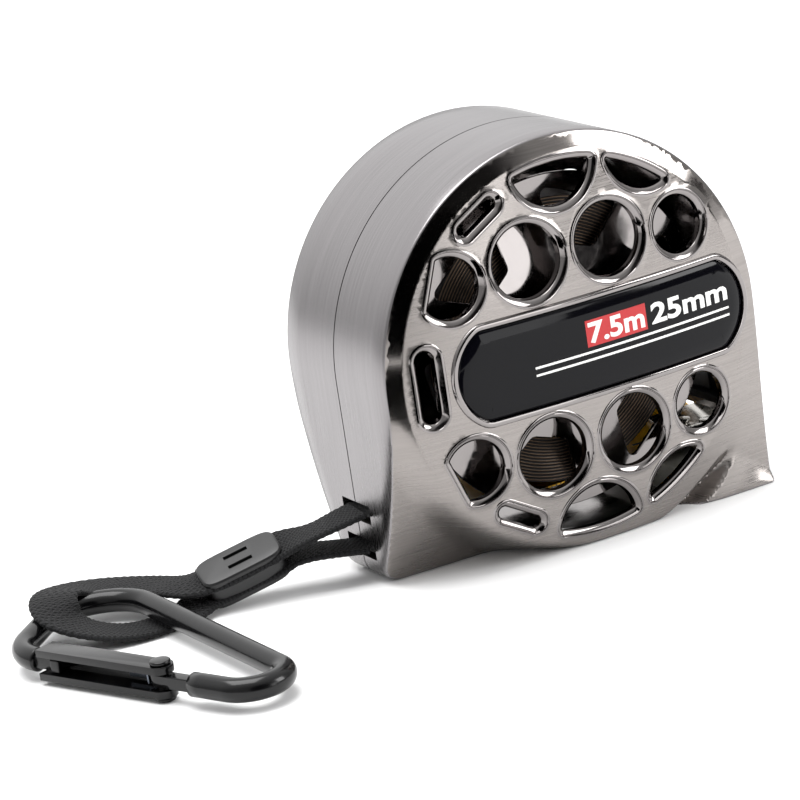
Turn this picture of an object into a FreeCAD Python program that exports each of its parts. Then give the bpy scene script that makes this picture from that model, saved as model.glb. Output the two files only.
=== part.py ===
import FreeCAD, Part
import math
import os
import Sketcher
from FreeCAD import Placement, Rotation, Vector

# Pocket tape measure, millimetres. +X points out of the mouth, +Y to the rear shell, +Z up.
# The origin is on the flat base, under the reel's axis, on the plane where the two shells part.

doc = FreeCAD.newDocument("TapeMeasure")
sheet = doc.addObject("Spreadsheet::Sheet", "Sizes")
X, Y, Z = Vector(1, 0, 0), Vector(0, 1, 0), Vector(0, 0, 1)


class Size:
    """A length that carries its value and the sheet formula that it comes from."""

    def __init__(self, text, number):
        self.text, self.number = text, number

    def join(self, sign, other, result):
        other = as_size(other)
        return Size("(%s %s %s)" % (self.text, sign, other.text), result(self.number, other.number))

    def __add__(self, other):
        return self.join("+", other, lambda a, b: a + b)

    def __sub__(self, other):
        return self.join("-", other, lambda a, b: a - b)

    def __mul__(self, other):
        return self.join("*", other, lambda a, b: a * b)

    def __truediv__(self, other):
        return self.join("/", other, lambda a, b: a / b)

    def __radd__(self, other):
        return as_size(other) + self

    def __rsub__(self, other):
        return as_size(other) - self

    def __rmul__(self, other):
        return as_size(other) * self

    def __neg__(self):
        return as_size(0) - self

    def __float__(self):
        return self.number


def as_size(value):
    return value if isinstance(value, Size) else Size("%.9g" % value, float(value))


def size(alias, number, note):
    """One driving dimension: a named cell of the sheet."""
    row = size.row = getattr(size, "row", 0) + 1
    sheet.set("A%d" % row, alias.replace("_", " "))
    sheet.set("B%d" % row, "%g" % number)
    sheet.set("C%d" % row, note)
    sheet.setAlias("B%d" % row, alias)
    return Size("Sizes.%s" % alias, float(number))


# ---- driving dimensions -------------------------------------------------------------------

case_radius = size("case_radius", 39.8, "half the case's length, and the radius of its arch")
axis_height = size("axis_height", 38, "reel axis above the base")
half_width = size("half_width", 18.8, "parting plane to the sharp edge of the face")
dome_rise = size("dome_rise", 3.84, "crown of each face above its sharp edge")
wall = size("wall", 2.2, "shell wall")
heel_radius = size("heel_radius", 60, "hollow of the lower back corner")
heel_yaw = size("heel_yaw", 10, "degrees that the hollow turns towards the face")
heel_round = size("heel_round", 4, "rounding of the lower back corner")

big_hole_radius = size("big_hole_radius", 8, "four large face windows")
big_hole_x = size("big_hole_x", 8.66, "from the reel axis")
big_hole_z = size("big_hole_z", 18.37, "from the reel axis")
side_hole_radius = size("side_hole_radius", 6.5, "two round windows at the mouth side")
side_hole_x = size("side_hole_x", 24.4, "from the reel axis")
side_hole_z = size("side_hole_z", 17.1, "from the reel axis")
cut_hole_radius = size("cut_hole_radius", 6.8, "two windows with one straight side")
cut_hole_x = size("cut_hole_x", 24.5, "from the reel axis, on the strap side")
cut_hole_z = size("cut_hole_z", 17.2, "from the reel axis")
cut_hole_flat = size("cut_hole_flat", 33.6, "reel axis to the straight side")
cut_hole_angle = size("cut_hole_angle", 159, "degrees, direction of the straight side")
rim_hole_limit = size("rim_hole_limit", 35.7, "outer edge of the windows along the rim")
moon_centre = size("moon_centre", 35.1, "reel axis to the centre of the half-moon")
moon_radius = size("moon_radius", 9.4, "inner side of the half-moons")
leaf_centre = size("leaf_centre", 39, "reel axis to the centre of the leaf's inner side")
leaf_angle = size("leaf_angle", 59.8, "degrees, direction of the leaf windows")
pill_radius = size("pill_radius", 2.25, "half the width of the slanted pills")
pill_reach = size("pill_reach", 33, "reel axis to the pill's middle")
pill_angle = size("pill_angle", 120.4, "degrees, direction of the slanted pills")
pill_half = size("pill_half", 3.5, "half the straight run of a slanted pill")
back_pill_radius = size("back_pill_radius", 2.9, "half the width of the upright pill")
back_pill_x = size("back_pill_x", 31.5, "reel axis to the upright pill")
back_pill_half = size("back_pill_half", 5, "half the straight run of the upright pill")

label_half_height = size("label_half_height", 8.6, "badge window")
label_end_radius = size("label_end_radius", 9.7, "bulged ends of the badge window")
label_back = size("label_back", 16.5, "reel axis to the centre of the strap-side end")
label_front = size("label_front", 26.8, "reel axis to the centre of the mouth-side end")
label_frame = size("label_frame", 1.3, "width of the raised frame round the badge")
label_frame_rise = size("label_frame_rise", 0.5, "frame above the face")
badge_seat = size("badge_seat", 0.9, "depth of the badge's seat")
badge_proud = size("badge_proud", 0.3, "badge crown above the face")
badge_gap = size("badge_gap", 0.1, "gap round the badge")

blade_half = size("blade_half", 12.5, "half the blade's width")
coil_radius = size("coil_radius", 27, "outside of the wound blade")
drum_radius = size("drum_radius", 17, "inside of the wound blade")
drum_wall = size("drum_wall", 1.4, "drum's rim")
spring_build = size("spring_build", 5.6, "turns of the return spring, in the drum")
spring_half = size("spring_half", 10, "half the return spring's width")
flange_radius = size("flange_radius", 31.5, "reel plates")
plate_thickness = size("plate_thickness", 1, "reel plates")
plate_gap = size("plate_gap", 0.4, "wound blade to each reel plate")
dish_rise = size("dish_rise", 2.3, "dish of the reel plates towards the face")
dish_rim = size("dish_rim", 27.6, "where the plate's flat rim begins")
dish_crown = size("dish_crown", 9, "radius of the plate's flat middle")
post_radius = size("post_radius", 3, "fixed post that the reel turns on")
post_clearance = size("post_clearance", 0.06, "running clearance of the reel on its post")
hub_radius = size("hub_radius", 6, "bosses that hold the post")
hub_gap = size("hub_gap", 0.4, "boss to reel plate")

blade_sag = size("blade_sag", 2.6, "hollow of the blade's section")
blade_thickness = size("blade_thickness", 0.25, "steel blade with its coating")
blade_tail = size("blade_tail", 20, "tongue's tail behind the reel axis")
blade_gap = size("blade_gap", 0.4, "tongue to the wound blade")
hook_gap = size("hook_gap", 0.15, "hook to the bumper")
hook_thickness = size("hook_thickness", 0.8, "hook plate")
hook_tab = size("hook_tab", 11, "length of the hook's tab on the blade")
hook_play = size("hook_play", 0.8, "slide that makes up for the hook's thickness")
bumper_thickness = size("bumper_thickness", 0.8, "rubber bumper at the mouth")
mouth_side_gap = size("mouth_side_gap", 0.7, "blade's edges to the mouth's ends")
mouth_low_gap = size("mouth_low_gap", 1.7, "blade to the mouth's lower lip")
mouth_high_gap = size("mouth_high_gap", 1.8, "blade to the mouth's upper lip")
hub_floor = size("hub_floor", 2, "material under the spindle screw's head")

lock_low = size("lock_low", 22, "thumb button's lower end above the base")
lock_high = size("lock_high", 34, "thumb button's upper end above the base")
lock_half = size("lock_half", 7, "half the thumb button's width")
lock_stand = size("lock_stand", 4, "thumb button above the wall")
lock_travel = size("lock_travel", 4.6, "slide that brings the brake pad down on the blade")
lock_stem_half = size("lock_stem_half", 3, "half the width of the stem through the wall")
lock_gap = size("lock_gap", 0.3, "gap round the lock's moving parts")

strap_core = size("strap_core", 0.75, "radius of the strap's plain core")
strap_slot_half = size("strap_slot_half", 5.3, "half the length of each strap slot")
strap_slot_height = size("strap_slot_height", 3.6, "height of each strap slot")
upper_slot = size("upper_slot", 13.2, "upper slot's middle above the base")
lower_slot = size("lower_slot", 6.3, "lower slot's middle above the base")

slider_length = size("slider_length", 16, "cord slider along the strap")
slider_width = size("slider_width", 8.4, "cord slider across the strap")
slider_height = size("slider_height", 6.4, "cord slider's thickness")
slider_slot_width = size("slider_slot_width", 6.8, "each strap slot in the slider")
slider_slot_height = size("slider_slot_height", 1.9, "each strap slot in the slider")
slider_slot_offset = size("slider_slot_offset", 1.6, "slots from the slider's middle")
slider_round = size("slider_round", 1.5, "slider's rounded corners")

ring_wire = size("ring_wire", 2.2, "radius of the carabiner's wire")
ring_height = size("ring_height", 3.85, "wire's middle above the base")
ring_small = size("ring_small", 6, "centreline radius of the narrow end")
ring_large = size("ring_large", 10.5, "centreline radius at the spine's wide end")
ring_nose = size("ring_nose", 10, "centreline radius at the gate's free end")
gate_half_height = size("gate_half_height", 2.9, "half the gate's height")
gate_half_width = size("gate_half_width", 2.3, "half the gate's width")
gate_wall = size("gate_wall", 0.9, "gate's folded sheet")
gate_pin_at = size("gate_pin_at", 30, "rivet from the start of the gate's straight side")
gate_rod_end = size("gate_rod_end", 37, "wire's end from the start of the gate's straight side")
gate_start = size("gate_start", 1.6, "gate's free end from the start of its straight side")
tongue_half = size("tongue_half", 1.2, "half the thickness of the wire's flattened ends")
rivet_radius = size("rivet_radius", 1, "gate rivet")
rivet_clearance = size("rivet_clearance", 0.06, "gate's and wire's hole over the rivet")

screw_radius = size("screw_radius", 1.1, "case screws")
screw_head = size("screw_head", 2.1, "case screw heads")
boss_radius = size("boss_radius", 2.4, "screw bosses")

# Places on the surface that the object lies on, in the document's X and Y.
narrow_end = Vector(-83.3, -38.3, 0)
spine_end = narrow_end + Vector(-6.1, 49.7, 0)
nose_end = narrow_end + Vector(-13.0, 43.3, 0)
slider_centre = Vector(-61.3, 7.0, 6.3)
slider_along = Vector(0.937, -0.238, 0.255)
slider_down = Vector(0.310, 0.236, -0.921)

doc.recompute()
dome_radius = (case_radius * case_radius + dome_rise * dome_rise) / (2 * dome_rise)
plate_inner = blade_half + plate_gap
plate_outer = plate_inner + plate_thickness
hub_face = plate_outer + dish_rise + hub_gap
front_wall = case_radius
blade_edge = axis_height - coil_radius - blade_gap
blade_floor = blade_edge - blade_sag
mouth_half = blade_half + mouth_side_gap
mouth_low = blade_floor - mouth_low_gap
mouth_high = blade_edge + mouth_high_gap
nodes = {}


# ---- building blocks ----------------------------------------------------------------------

def bind(obj, **properties):
    for name, value in properties.items():
        obj.setExpression(name.replace("__", "."), as_size(value).text)


def move(obj, x=0, y=0, z=0, rotation=Rotation()):
    obj.Placement = Placement(Vector(float(x), float(y), float(z)), rotation)
    for axis, value in (("x", x), ("y", y), ("z", z)):
        obj.setExpression("Placement.Base." + axis, as_size(value).text)
    return obj


def box(name, x, y, z):
    """A block between two corners: each of x, y and z is a pair, low and high."""
    obj = doc.addObject("Part::Box", name)
    bind(obj, Length=x[1] - x[0], Width=y[1] - y[0], Height=z[1] - z[0])
    return move(obj, x[0], y[0], z[0])


def rod(name, radius, start, end, axis="Y", at=(0, 0)):
    """A cylinder along one axis from start to end; at is its place on the other two axes."""
    obj = doc.addObject("Part::Cylinder", name)
    bind(obj, Radius=radius, Height=end - start)
    places = {"X": (start, at[0], at[1]), "Y": (at[0], start, at[1]), "Z": (at[0], at[1], start)}
    turns = {"X": Rotation(Y, 90), "Y": Rotation(X, -90), "Z": Rotation()}
    return move(obj, *places[axis], rotation=turns[axis])


def ball(name, radius, y):
    obj = doc.addObject("Part::Sphere", name)
    bind(obj, Radius=radius)
    return move(obj, 0, y, axis_height)


def fuse(name, *shapes):
    obj = doc.addObject("Part::MultiFuse", name)
    obj.Shapes = list(shapes)
    return obj


def common(name, *shapes):
    obj = doc.addObject("Part::MultiCommon", name)
    obj.Shapes = list(shapes)
    return obj


def cut(name, base, *tools):
    obj = doc.addObject("Part::Cut", name)
    obj.Base = base
    obj.Tool = tools[0] if len(tools) == 1 else fuse(name + "_tools", *tools)
    return obj


def mirrored(name, source):
    """The same piece on the other side of the parting plane."""
    obj = doc.addObject("Part::Mirroring", name)
    obj.Source = source
    obj.Normal = Y
    return obj


def feature(name, shape):
    obj = doc.addObject("Part::Feature", name)
    obj.Shape = shape
    return obj


def keep(label, obj):
    obj.Label = label
    nodes[label] = obj
    return obj


def outline(body, role, points):
    """A closed polygon on one of the body's planes, every corner placed by formulas."""
    sketch = body.newObject("Sketcher::SketchObject", body.Name + "_outline")
    plane = next(f for f in body.Origin.OriginFeatures if f.Role == role)
    sketch.AttachmentSupport = [(plane, "")]
    sketch.MapMode = "FlatFace"
    corners = [Vector(float(u), float(v), 0) for u, v in points]
    count = len(corners)
    for index in range(count):
        sketch.addGeometry(Part.LineSegment(corners[index], corners[(index + 1) % count]))
    for index in range(count):
        sketch.addConstraint(Sketcher.Constraint("Coincident", index, 2, (index + 1) % count, 1))
    for index, (u, v) in enumerate(points):
        for kind, axis, value in (("DistanceX", -2, u), ("DistanceY", -1, v)):
            if float(value) == 0:
                sketch.addConstraint(Sketcher.Constraint("PointOnObject", index, 1, axis))
                continue
            added = sketch.addConstraint(Sketcher.Constraint(kind, -1, 1, index, 1, float(value)))
            sketch.setExpression("Constraints[%d]" % added, as_size(value).text)
    return sketch


def turned_body(name, points):
    """A body of revolution about Y; points are (radius, y) pairs."""
    body = doc.addObject("PartDesign::Body", name)
    sketch = outline(body, "XY_Plane", points)
    turn = body.newObject("PartDesign::Revolution", name + "_turn")
    turn.Profile = sketch
    turn.ReferenceAxis = (sketch, ["V_Axis"])
    turn.Angle = 360
    return move(body, 0, 0, axis_height)


def padded_body(name, role, points, half):
    """A body padded to both sides of one of its planes."""
    body = doc.addObject("PartDesign::Body", name)
    pad = body.newObject("PartDesign::Pad", name + "_pad")
    pad.Profile = outline(body, role, points)
    pad.SideType = "Symmetric" if hasattr(pad, "SideType") else pad.Midplane
    bind(pad, Length=2 * half)
    return body


# ---- case shells --------------------------------------------------------------------------

def case_form(inset):
    """The front half of the case, with every outer surface moved in by inset."""
    name = "outer" if float(inset) == 0 else "inner"
    face_y = half_width - inset
    reach = case_radius - inset
    disc = common(name + "_disc",
                  rod(name + "_barrel", reach, -(half_width + dome_rise + 2), 0, at=(0, axis_height)),
                  ball(name + "_dome", dome_radius - inset, dome_radius - half_width - dome_rise))
    mouth_block = box(name + "_mouth_block", (0, reach), (-face_y, 0), (inset, axis_height))
    yaw = math.radians(float(heel_yaw))
    along = Vector(math.cos(yaw), -math.sin(yaw), 0)
    lead = 15
    heel = doc.addObject("Part::Cylinder", name + "_heel_hollow")
    bind(heel, Radius=heel_radius - inset, Height=2 * case_radius)
    move(heel, -case_radius - lead * along.x, heel_radius - half_width - lead * along.y, axis_height,
         Rotation(Z, along))
    back_block = common(name + "_back_block", heel,
                        box(name + "_back_box", (-reach, 0), (-face_y, 0), (inset, axis_height)))
    clip = box(name + "_clip", (-case_radius, case_radius), (-2 * half_width, 0),
               (inset, axis_height + case_radius))
    return common(name + "_form", fuse(name + "_blocks", disc, mouth_block, back_block), clip)


def polar(radius, degrees):
    """A place on the face, from the reel axis."""
    return (radius * math.cos(math.radians(float(degrees))),
            axis_height + radius * math.sin(math.radians(float(degrees))))


def face_rod(name, radius, at):
    return rod(name, radius, -(half_width + dome_rise + 2), -(half_width - wall - 4), at=at)


def capsule(name, radius, middle, half, degrees):
    """A pill-shaped cutter through the face: two rods and a block between them."""
    turn = math.radians(float(degrees))
    ends = [(middle[0] + side * half * math.cos(turn), middle[1] + side * half * math.sin(turn))
            for side in (-1, 1)]
    rods = [face_rod("%s_end%d" % (name, index), radius, end) for index, end in enumerate(ends)]
    block = doc.addObject("Part::Box", name + "_block")
    bind(block, Length=2 * half, Width=dome_rise + wall + 6, Height=2 * radius)
    move(block,
         ends[0][0] + radius * math.sin(turn),
         -(half_width + dome_rise + 2),
         ends[0][1] - radius * math.cos(turn),
         Rotation(Y, -math.degrees(turn)))
    return fuse(name, *rods, block)


def face_windows():
    """Fifteen windows: seven above the badge, their mirror images below it and one beside it."""
    rim = face_rod("rim_limit", rim_hole_limit, (0, axis_height))
    windows = []
    for side, word in ((1, "upper"), (-1, "lower")):
        for end in (-1, 1):
            windows.append(face_rod("%s_big_window" % word, big_hole_radius,
                                    (end * big_hole_x, axis_height + side * big_hole_z)))
        windows.append(face_rod("%s_side_window" % word, side_hole_radius,
                                (side_hole_x, axis_height + side * side_hole_z)))
        flat = box("%s_cut_flat" % word, (-cut_hole_flat, cut_hole_flat),
                   (-(half_width + dome_rise + 2), 0), (-case_radius, case_radius))
        move(flat, *polar_corner(side), rotation=Rotation(Y, -side * (float(cut_hole_angle) - 180)))
        circle = face_rod("%s_cut_circle" % word, cut_hole_radius,
                          (-cut_hole_x, axis_height + side * cut_hole_z))
        windows.append(common("%s_cut_window" % word, circle, flat))
        moon = face_rod("%s_moon_side" % word, moon_radius, polar(moon_centre, 90 * side))
        windows.append(common("%s_moon_window" % word, rim, moon))
        leaf = face_rod("%s_leaf_side" % word, moon_radius, polar(leaf_centre, side * float(leaf_angle)))
        windows.append(common("%s_leaf_window" % word, rim, leaf))
        windows.append(capsule("%s_pill_window" % word, pill_radius,
                               polar(pill_reach, side * float(pill_angle)), pill_half,
                               side * (float(pill_angle) - 90)))
    windows.append(capsule("back_pill_window", back_pill_radius, (-back_pill_x, axis_height),
                           back_pill_half, 90))
    return fuse("face_windows", *windows)


def polar_corner(side):
    """Low corner of the block that squares off a cut window, turned about the reel axis."""
    turn = math.radians(side * (float(cut_hole_angle) - 180))
    cosine, sine = math.cos(turn), math.sin(turn)
    return (-cut_hole_flat * cosine + case_radius * sine,
            -(half_width + dome_rise + 2),
            axis_height - cut_hole_flat * sine - case_radius * cosine)


def label_prism(name, grow):
    """The badge's outline, grown by grow: a block with two bulged ends."""
    y = (-(half_width + dome_rise + 2), -(half_width - wall))
    ends = [rod("%s_end%d" % (name, index), label_end_radius + grow, y[0], y[1], at=(x, axis_height))
            for index, x in enumerate((-label_back, label_front))]
    band = box(name + "_band", (-case_radius, case_radius), y,
               (axis_height - label_half_height - grow, axis_height + label_half_height + grow))
    middle = box(name + "_middle", (-label_back, label_front), y,
                 (axis_height - label_half_height - grow, axis_height + label_half_height + grow))
    return fuse(name, common(name + "_ends", fuse(name + "_discs", *ends), band), middle)


def dome_slab(name, prism, low, high):
    """The part of a prism between two spheres that follow the face; low may be None."""
    centre = dome_radius - half_width - dome_rise
    slab = common(name + "_top", prism, ball(name + "_high", dome_radius + high, centre))
    return slab if low is None else cut(name, slab, ball(name + "_low", dome_radius + low, centre))


boss_places = ((-34.4, axis_height - 17), (31, 4.1), (34.9, axis_height))

outer = case_form(as_size(0))
inner = case_form(wall)
bosses = [rod("boss%d" % index, boss_radius, -(half_width + dome_rise + 1), 0, at=place)
          for index, place in enumerate(boss_places)]
hub_boss = rod("hub_boss", hub_radius, -(half_width + dome_rise + 1), -hub_face, at=(0, axis_height))
cavity = cut("cavity", inner, *bosses, hub_boss)
frame_prism = label_prism("frame_outline", label_frame)
badge_prism = label_prism("badge_outline", -badge_gap)
window_prism = label_prism("window_outline", as_size(0))
frame = dome_slab("badge_frame", frame_prism, -wall / 2, label_frame_rise)
seat = cut("badge_pocket", window_prism,
           ball("badge_floor", dome_radius - badge_seat, dome_radius - half_width - dome_rise))
round_block = box("heel_corner", (-case_radius - 1, -case_radius + heel_round), (-half_width - 1, 0),
                  (-1, heel_round))
heel_tool = cut("heel_tool", round_block,
                rod("heel_core", heel_round, -half_width - 2, 1,
                    at=(heel_round - case_radius, heel_round)))
mouth = box("mouth_slot", (case_radius - wall - 1, case_radius + 1), (-mouth_half, mouth_half),
            (mouth_low, mouth_high))
stem_slot = box("stem_slot", (case_radius - wall - 1, case_radius + 1),
                (-lock_stem_half - lock_gap, lock_stem_half + lock_gap),
                (lock_low + 2 - lock_travel - lock_gap, lock_high - 2 + lock_gap))
strap_slots = [box("strap_slot%d" % index, (-case_radius - 1, wall + 1 - case_radius),
                   (-strap_slot_half, strap_slot_half),
                   (place - strap_slot_height / 2, place + strap_slot_height / 2))
               for index, place in enumerate((upper_slot, lower_slot))]
post_socket = rod("post_socket", post_radius, -(hub_face + 1.5), 0, at=(0, axis_height))
half_case = cut("half_case", fuse("half_case_solid", outer, frame), cavity, face_windows(),
                seat, heel_tool, mouth, stem_slot, *strap_slots, post_socket)

pilot_holes = [rod("pilot%d" % index, screw_radius, -8.5, 0, at=place)
               for index, place in enumerate(boss_places)]
keep("front_shell", cut("front_shell", half_case, *pilot_holes))

head_seat = (12, 15, 16)
screw_holes = [rod("screw_hole%d" % index, screw_radius, 0, depth + 1, at=place)
               for index, (place, depth) in enumerate(zip(boss_places, head_seat))]
head_holes = [rod("head_hole%d" % index, screw_head, depth, 30, at=place)
              for index, (place, depth) in enumerate(zip(boss_places, head_seat))]
hub_screw_seat = hub_face + hub_floor
keep("rear_shell", cut("rear_shell", mirrored("rear_half_case", half_case), *screw_holes, *head_holes,
                       rod("hub_screw_hole", 1.6, hub_face, 30, at=(0, axis_height)),
                       rod("hub_head_hole", 2.8, hub_screw_seat, 30, at=(0, axis_height))))
keep("front_badge", dome_slab("front_badge", badge_prism, -badge_seat, badge_proud))
keep("rear_badge", mirrored("rear_badge", nodes["front_badge"]))

screws = []
for index, (place, depth) in enumerate(zip(boss_places, head_seat)):
    screws.append(rod("screw_shank%d" % index, screw_radius, -8, depth, at=place))
    head = rod("head%d" % index, screw_head - 0.1, depth, depth + 1.4, at=place)
    slot = box("head_slot%d" % index, (place[0] - 1.4, place[0] + 1.4), (depth + 0.8, depth + 2),
               (place[1] - 0.3, place[1] + 0.3))
    screws.append(cut("screw_head%d" % index, head, slot))
keep("case_screws", fuse("case_screws", *screws))

# ---- reel ---------------------------------------------------------------------------------

keep("spindle_post", cut(
    "spindle_post",
    rod("post", post_radius, -(hub_face + 1.5), hub_face, at=(0, axis_height)),
    box("spring_slit", (-0.4, 0.4), (-7, 7), (axis_height - post_radius - 1, axis_height + 0.5)),
    rod("post_bore", 1.5, hub_face - 6, hub_face + 1, at=(0, axis_height))))
keep("spindle_screw", fuse("spindle_screw",
                           rod("spindle_shank", 1.5, hub_face - 6, hub_screw_seat, at=(0, axis_height)),
                           rod("spindle_head", 2.7, hub_screw_seat, hub_screw_seat + 1.1,
                               at=(0, axis_height))))

bore = post_radius + post_clearance


def reel_plate(label, side):
    """A dished plate: flat rim, cone, flat middle, with six rounded windows."""
    low, high = side * plate_inner, side * plate_outer
    plate = turned_body(label, [
        (bore, low + side * dish_rise), (dish_crown, low + side * dish_rise), (dish_rim, low),
        (flange_radius, low), (flange_radius, high), (dish_rim, high),
        (dish_crown, high + side * dish_rise), (bore, high + side * dish_rise)])
    count = 6
    openings = []
    for index in range(count):
        middle = 360 / count * index + 12
        corners = [(19.6, middle - 9), (19.6, middle + 9), (27.4, middle + 15), (27.4, middle - 15)]
        path = [Vector(r * math.cos(math.radians(a)), 0, r * math.sin(math.radians(a)))
                for r, a in corners]
        sheet_face = Part.Face(Part.makePolygon(path + path[:1])).makeOffset2D(1.3)
        openings.append(sheet_face.extrude(Vector(0, 40, 0)))
    cutter = feature(label + "_windows", Part.makeCompound(openings))
    cutter.Placement = Placement(Vector(0, -20, float(axis_height)), Rotation())
    return keep(label, cut(label, plate, cutter))


reel_plate("front_reel_plate", -1)
reel_plate("rear_reel_plate", 1)


def plate_height(radius):
    """The dished plate's inner surface at a radius."""
    return plate_inner + dish_rise * (dish_rim - radius) / (dish_rim - dish_crown)


drum_inner = drum_radius - drum_wall
keep("reel_drum", turned_body("reel_drum", [
    (drum_inner, -plate_height(drum_inner)), (drum_radius, -plate_height(drum_radius)),
    (drum_radius, plate_height(drum_radius)), (drum_inner, plate_height(drum_inner))]))
keep("blade_coil", turned_body("blade_coil", [
    (drum_radius, -blade_half), (coil_radius, -blade_half), (coil_radius, blade_half),
    (drum_radius, blade_half)]))
keep("power_spring", turned_body("power_spring", [
    (drum_inner - spring_build, -spring_half), (drum_inner, -spring_half),
    (drum_inner, spring_half), (drum_inner - spring_build, spring_half)]))

# ---- blade, hook and mouth ----------------------------------------------------------------

blade_arc = (blade_half * blade_half + blade_sag * blade_sag) / (2 * blade_sag)
arc_centre = blade_floor + blade_arc


def trough(name, inner_radius, outer_radius, x, half):
    """A strip with the blade's hollow section, between two radii about the blade's arc centre."""
    tube = cut(name + "_tube", rod(name + "_out", outer_radius, x[0], x[1], "X", (0, arc_centre)),
               rod(name + "_in", inner_radius, x[0] - 1, x[1] + 1, "X", (0, arc_centre)))
    return common(name, tube, box(name + "_box", x, (-half, half), (blade_floor - 3, blade_edge)))


bumper_face = front_wall + bumper_thickness
hook_back = bumper_face + hook_gap
rivet_places = ((hook_back - 3, 0, 0), (hook_back - 6.5, -3.4, 0.35), (hook_back - 6.5, 3.4, 0.35))
tab_x = (hook_back - hook_tab, hook_back + hook_thickness)
rivet_low = blade_floor - 0.55
rivet_shanks = [rod("hook_rivet%d" % index, 1.1, rivet_low, blade_floor + 1.65 + lift, "Z", (x, y))
                for index, (x, y, lift) in enumerate(rivet_places)]
keep("blade_tongue", cut("blade_tongue", trough("blade_strip", blade_arc - blade_thickness, blade_arc,
                                                (-blade_tail, hook_back - 0.5), blade_half),
                         *rivet_shanks))
rivet_heads = [rod("hook_rivet_head%d" % index, 1.6, low, low + 0.5, "Z", (x, y))
               for index, (x, y, lift) in enumerate(rivet_places)
               for low in (rivet_low, blade_floor + 1.15 + lift)]
tab = trough("hook_tab_strip", blade_arc - 1.0, blade_arc - blade_thickness - 0.05, tab_x, 9)
slots = []
for index, (x, y, lift) in enumerate(rivet_places):
    slots.append(box("hook_slot%d" % index, (x - hook_play, x), (y - 1.16, y + 1.16),
                     (blade_floor - 1, blade_edge)))
    for step in (0, 1):
        slots.append(rod("hook_slot%d_end%d" % (index, step), 1.16, blade_floor - 1, blade_edge, "Z",
                         (x - step * hook_play, y)))
hook_plate = padded_body("hook_plate", "YZ_Plane", [
    (-9, blade_edge), (-9, 3.2), (-6.5, 0.9), (6.5, 0.9), (9, 3.2), (9, blade_edge)], hook_thickness / 2)
move(hook_plate, hook_back + hook_thickness / 2, 0, 0)
keep("end_hook", cut("end_hook", fuse("hook_bent", tab, hook_plate), *slots))
keep("hook_rivets", fuse("hook_rivets", *rivet_shanks, *rivet_heads))

bumper = box("bumper_block", (front_wall, bumper_face), (-mouth_half - 2, mouth_half + 2),
             (1, mouth_high + 2.6))
keep("mouth_bumper", cut("mouth_bumper", bumper,
                         box("bumper_gap", (front_wall - 1, bumper_face + 1), (-mouth_half, mouth_half),
                             (mouth_low, mouth_high))))
guide_top = blade_floor - 0.35
guide_end = hook_back - hook_tab - 0.5
guide_half = half_width - wall - 0.1
keep("blade_guide", fuse("blade_guide",
                         box("guide_plate", (20, guide_end), (-guide_half, guide_half),
                             (guide_top - 1, guide_top)),
                         box("guide_foot", (20, 21.5), (-guide_half, guide_half), (wall, guide_top - 1))))

# ---- lock ---------------------------------------------------------------------------------

inner_wall = front_wall - wall
pad_low = blade_edge + lock_travel + 0.3
keep("lock_button", fuse("lock_button",
                         box("thumb_pad", (front_wall + lock_gap, front_wall + lock_stand),
                             (-lock_half, lock_half), (lock_low, lock_high)),
                         box("thumb_stem", (inner_wall - lock_gap, front_wall + lock_gap),
                             (-lock_stem_half, lock_stem_half), (lock_low + 2, lock_high - 2))))
keep("lock_slide", box("lock_slide", (inner_wall - lock_gap - 1.8, inner_wall - lock_gap),
                       (-lock_half + 1, lock_half - 1), (pad_low + 1.6, lock_high - 1)))
keep("brake_pad", box("brake_pad", (inner_wall - lock_gap - 3, inner_wall - lock_gap),
                      (-blade_half + 2, blade_half - 2), (pad_low, pad_low + 1.6)))

# ---- cord slider --------------------------------------------------------------------------

slider_body = padded_body("cord_slider_body", "XY_Plane", [
    (-slider_length / 2, -slider_width / 2), (slider_length / 2, -slider_width / 2),
    (slider_length / 2, slider_width / 2), (-slider_length / 2, slider_width / 2)], slider_height / 2)
doc.recompute()
slider_pad = slider_body.Tip
upright = ["Edge%d" % (index + 1) for index, edge in enumerate(slider_pad.Shape.Edges)
           if abs(edge.tangentAt(edge.FirstParameter).z) > 0.9]
rounding = slider_body.newObject("PartDesign::Fillet", "slider_corners")
rounding.Base = (slider_pad, upright)
bind(rounding, Radius=slider_round)
slider_slots = [box("slider_slot%d" % index, (-slider_length, slider_length),
                    (-slider_slot_width / 2, slider_slot_width / 2),
                    (side * slider_slot_offset - slider_slot_height / 2,
                     side * slider_slot_offset + slider_slot_height / 2))
                for index, side in enumerate((-1, 1))]
across = slider_down.cross(slider_along)
slider_turn = Rotation(slider_along, across.negative(), slider_down.negative(), "XZY")
slider = keep("cord_slider", cut("cord_slider", slider_body, *slider_slots))
slider.Placement = Placement(slider_centre, slider_turn)

# ---- strap --------------------------------------------------------------------------------

def slider_mouth(end, level):
    """Where the strap's leg enters or leaves the slider."""
    along = slider_turn.multVec(X) * (end * float(slider_length) / 2)
    up = slider_turn.multVec(Z) * (level * float(slider_slot_offset))
    return slider_centre + along + up


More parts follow.
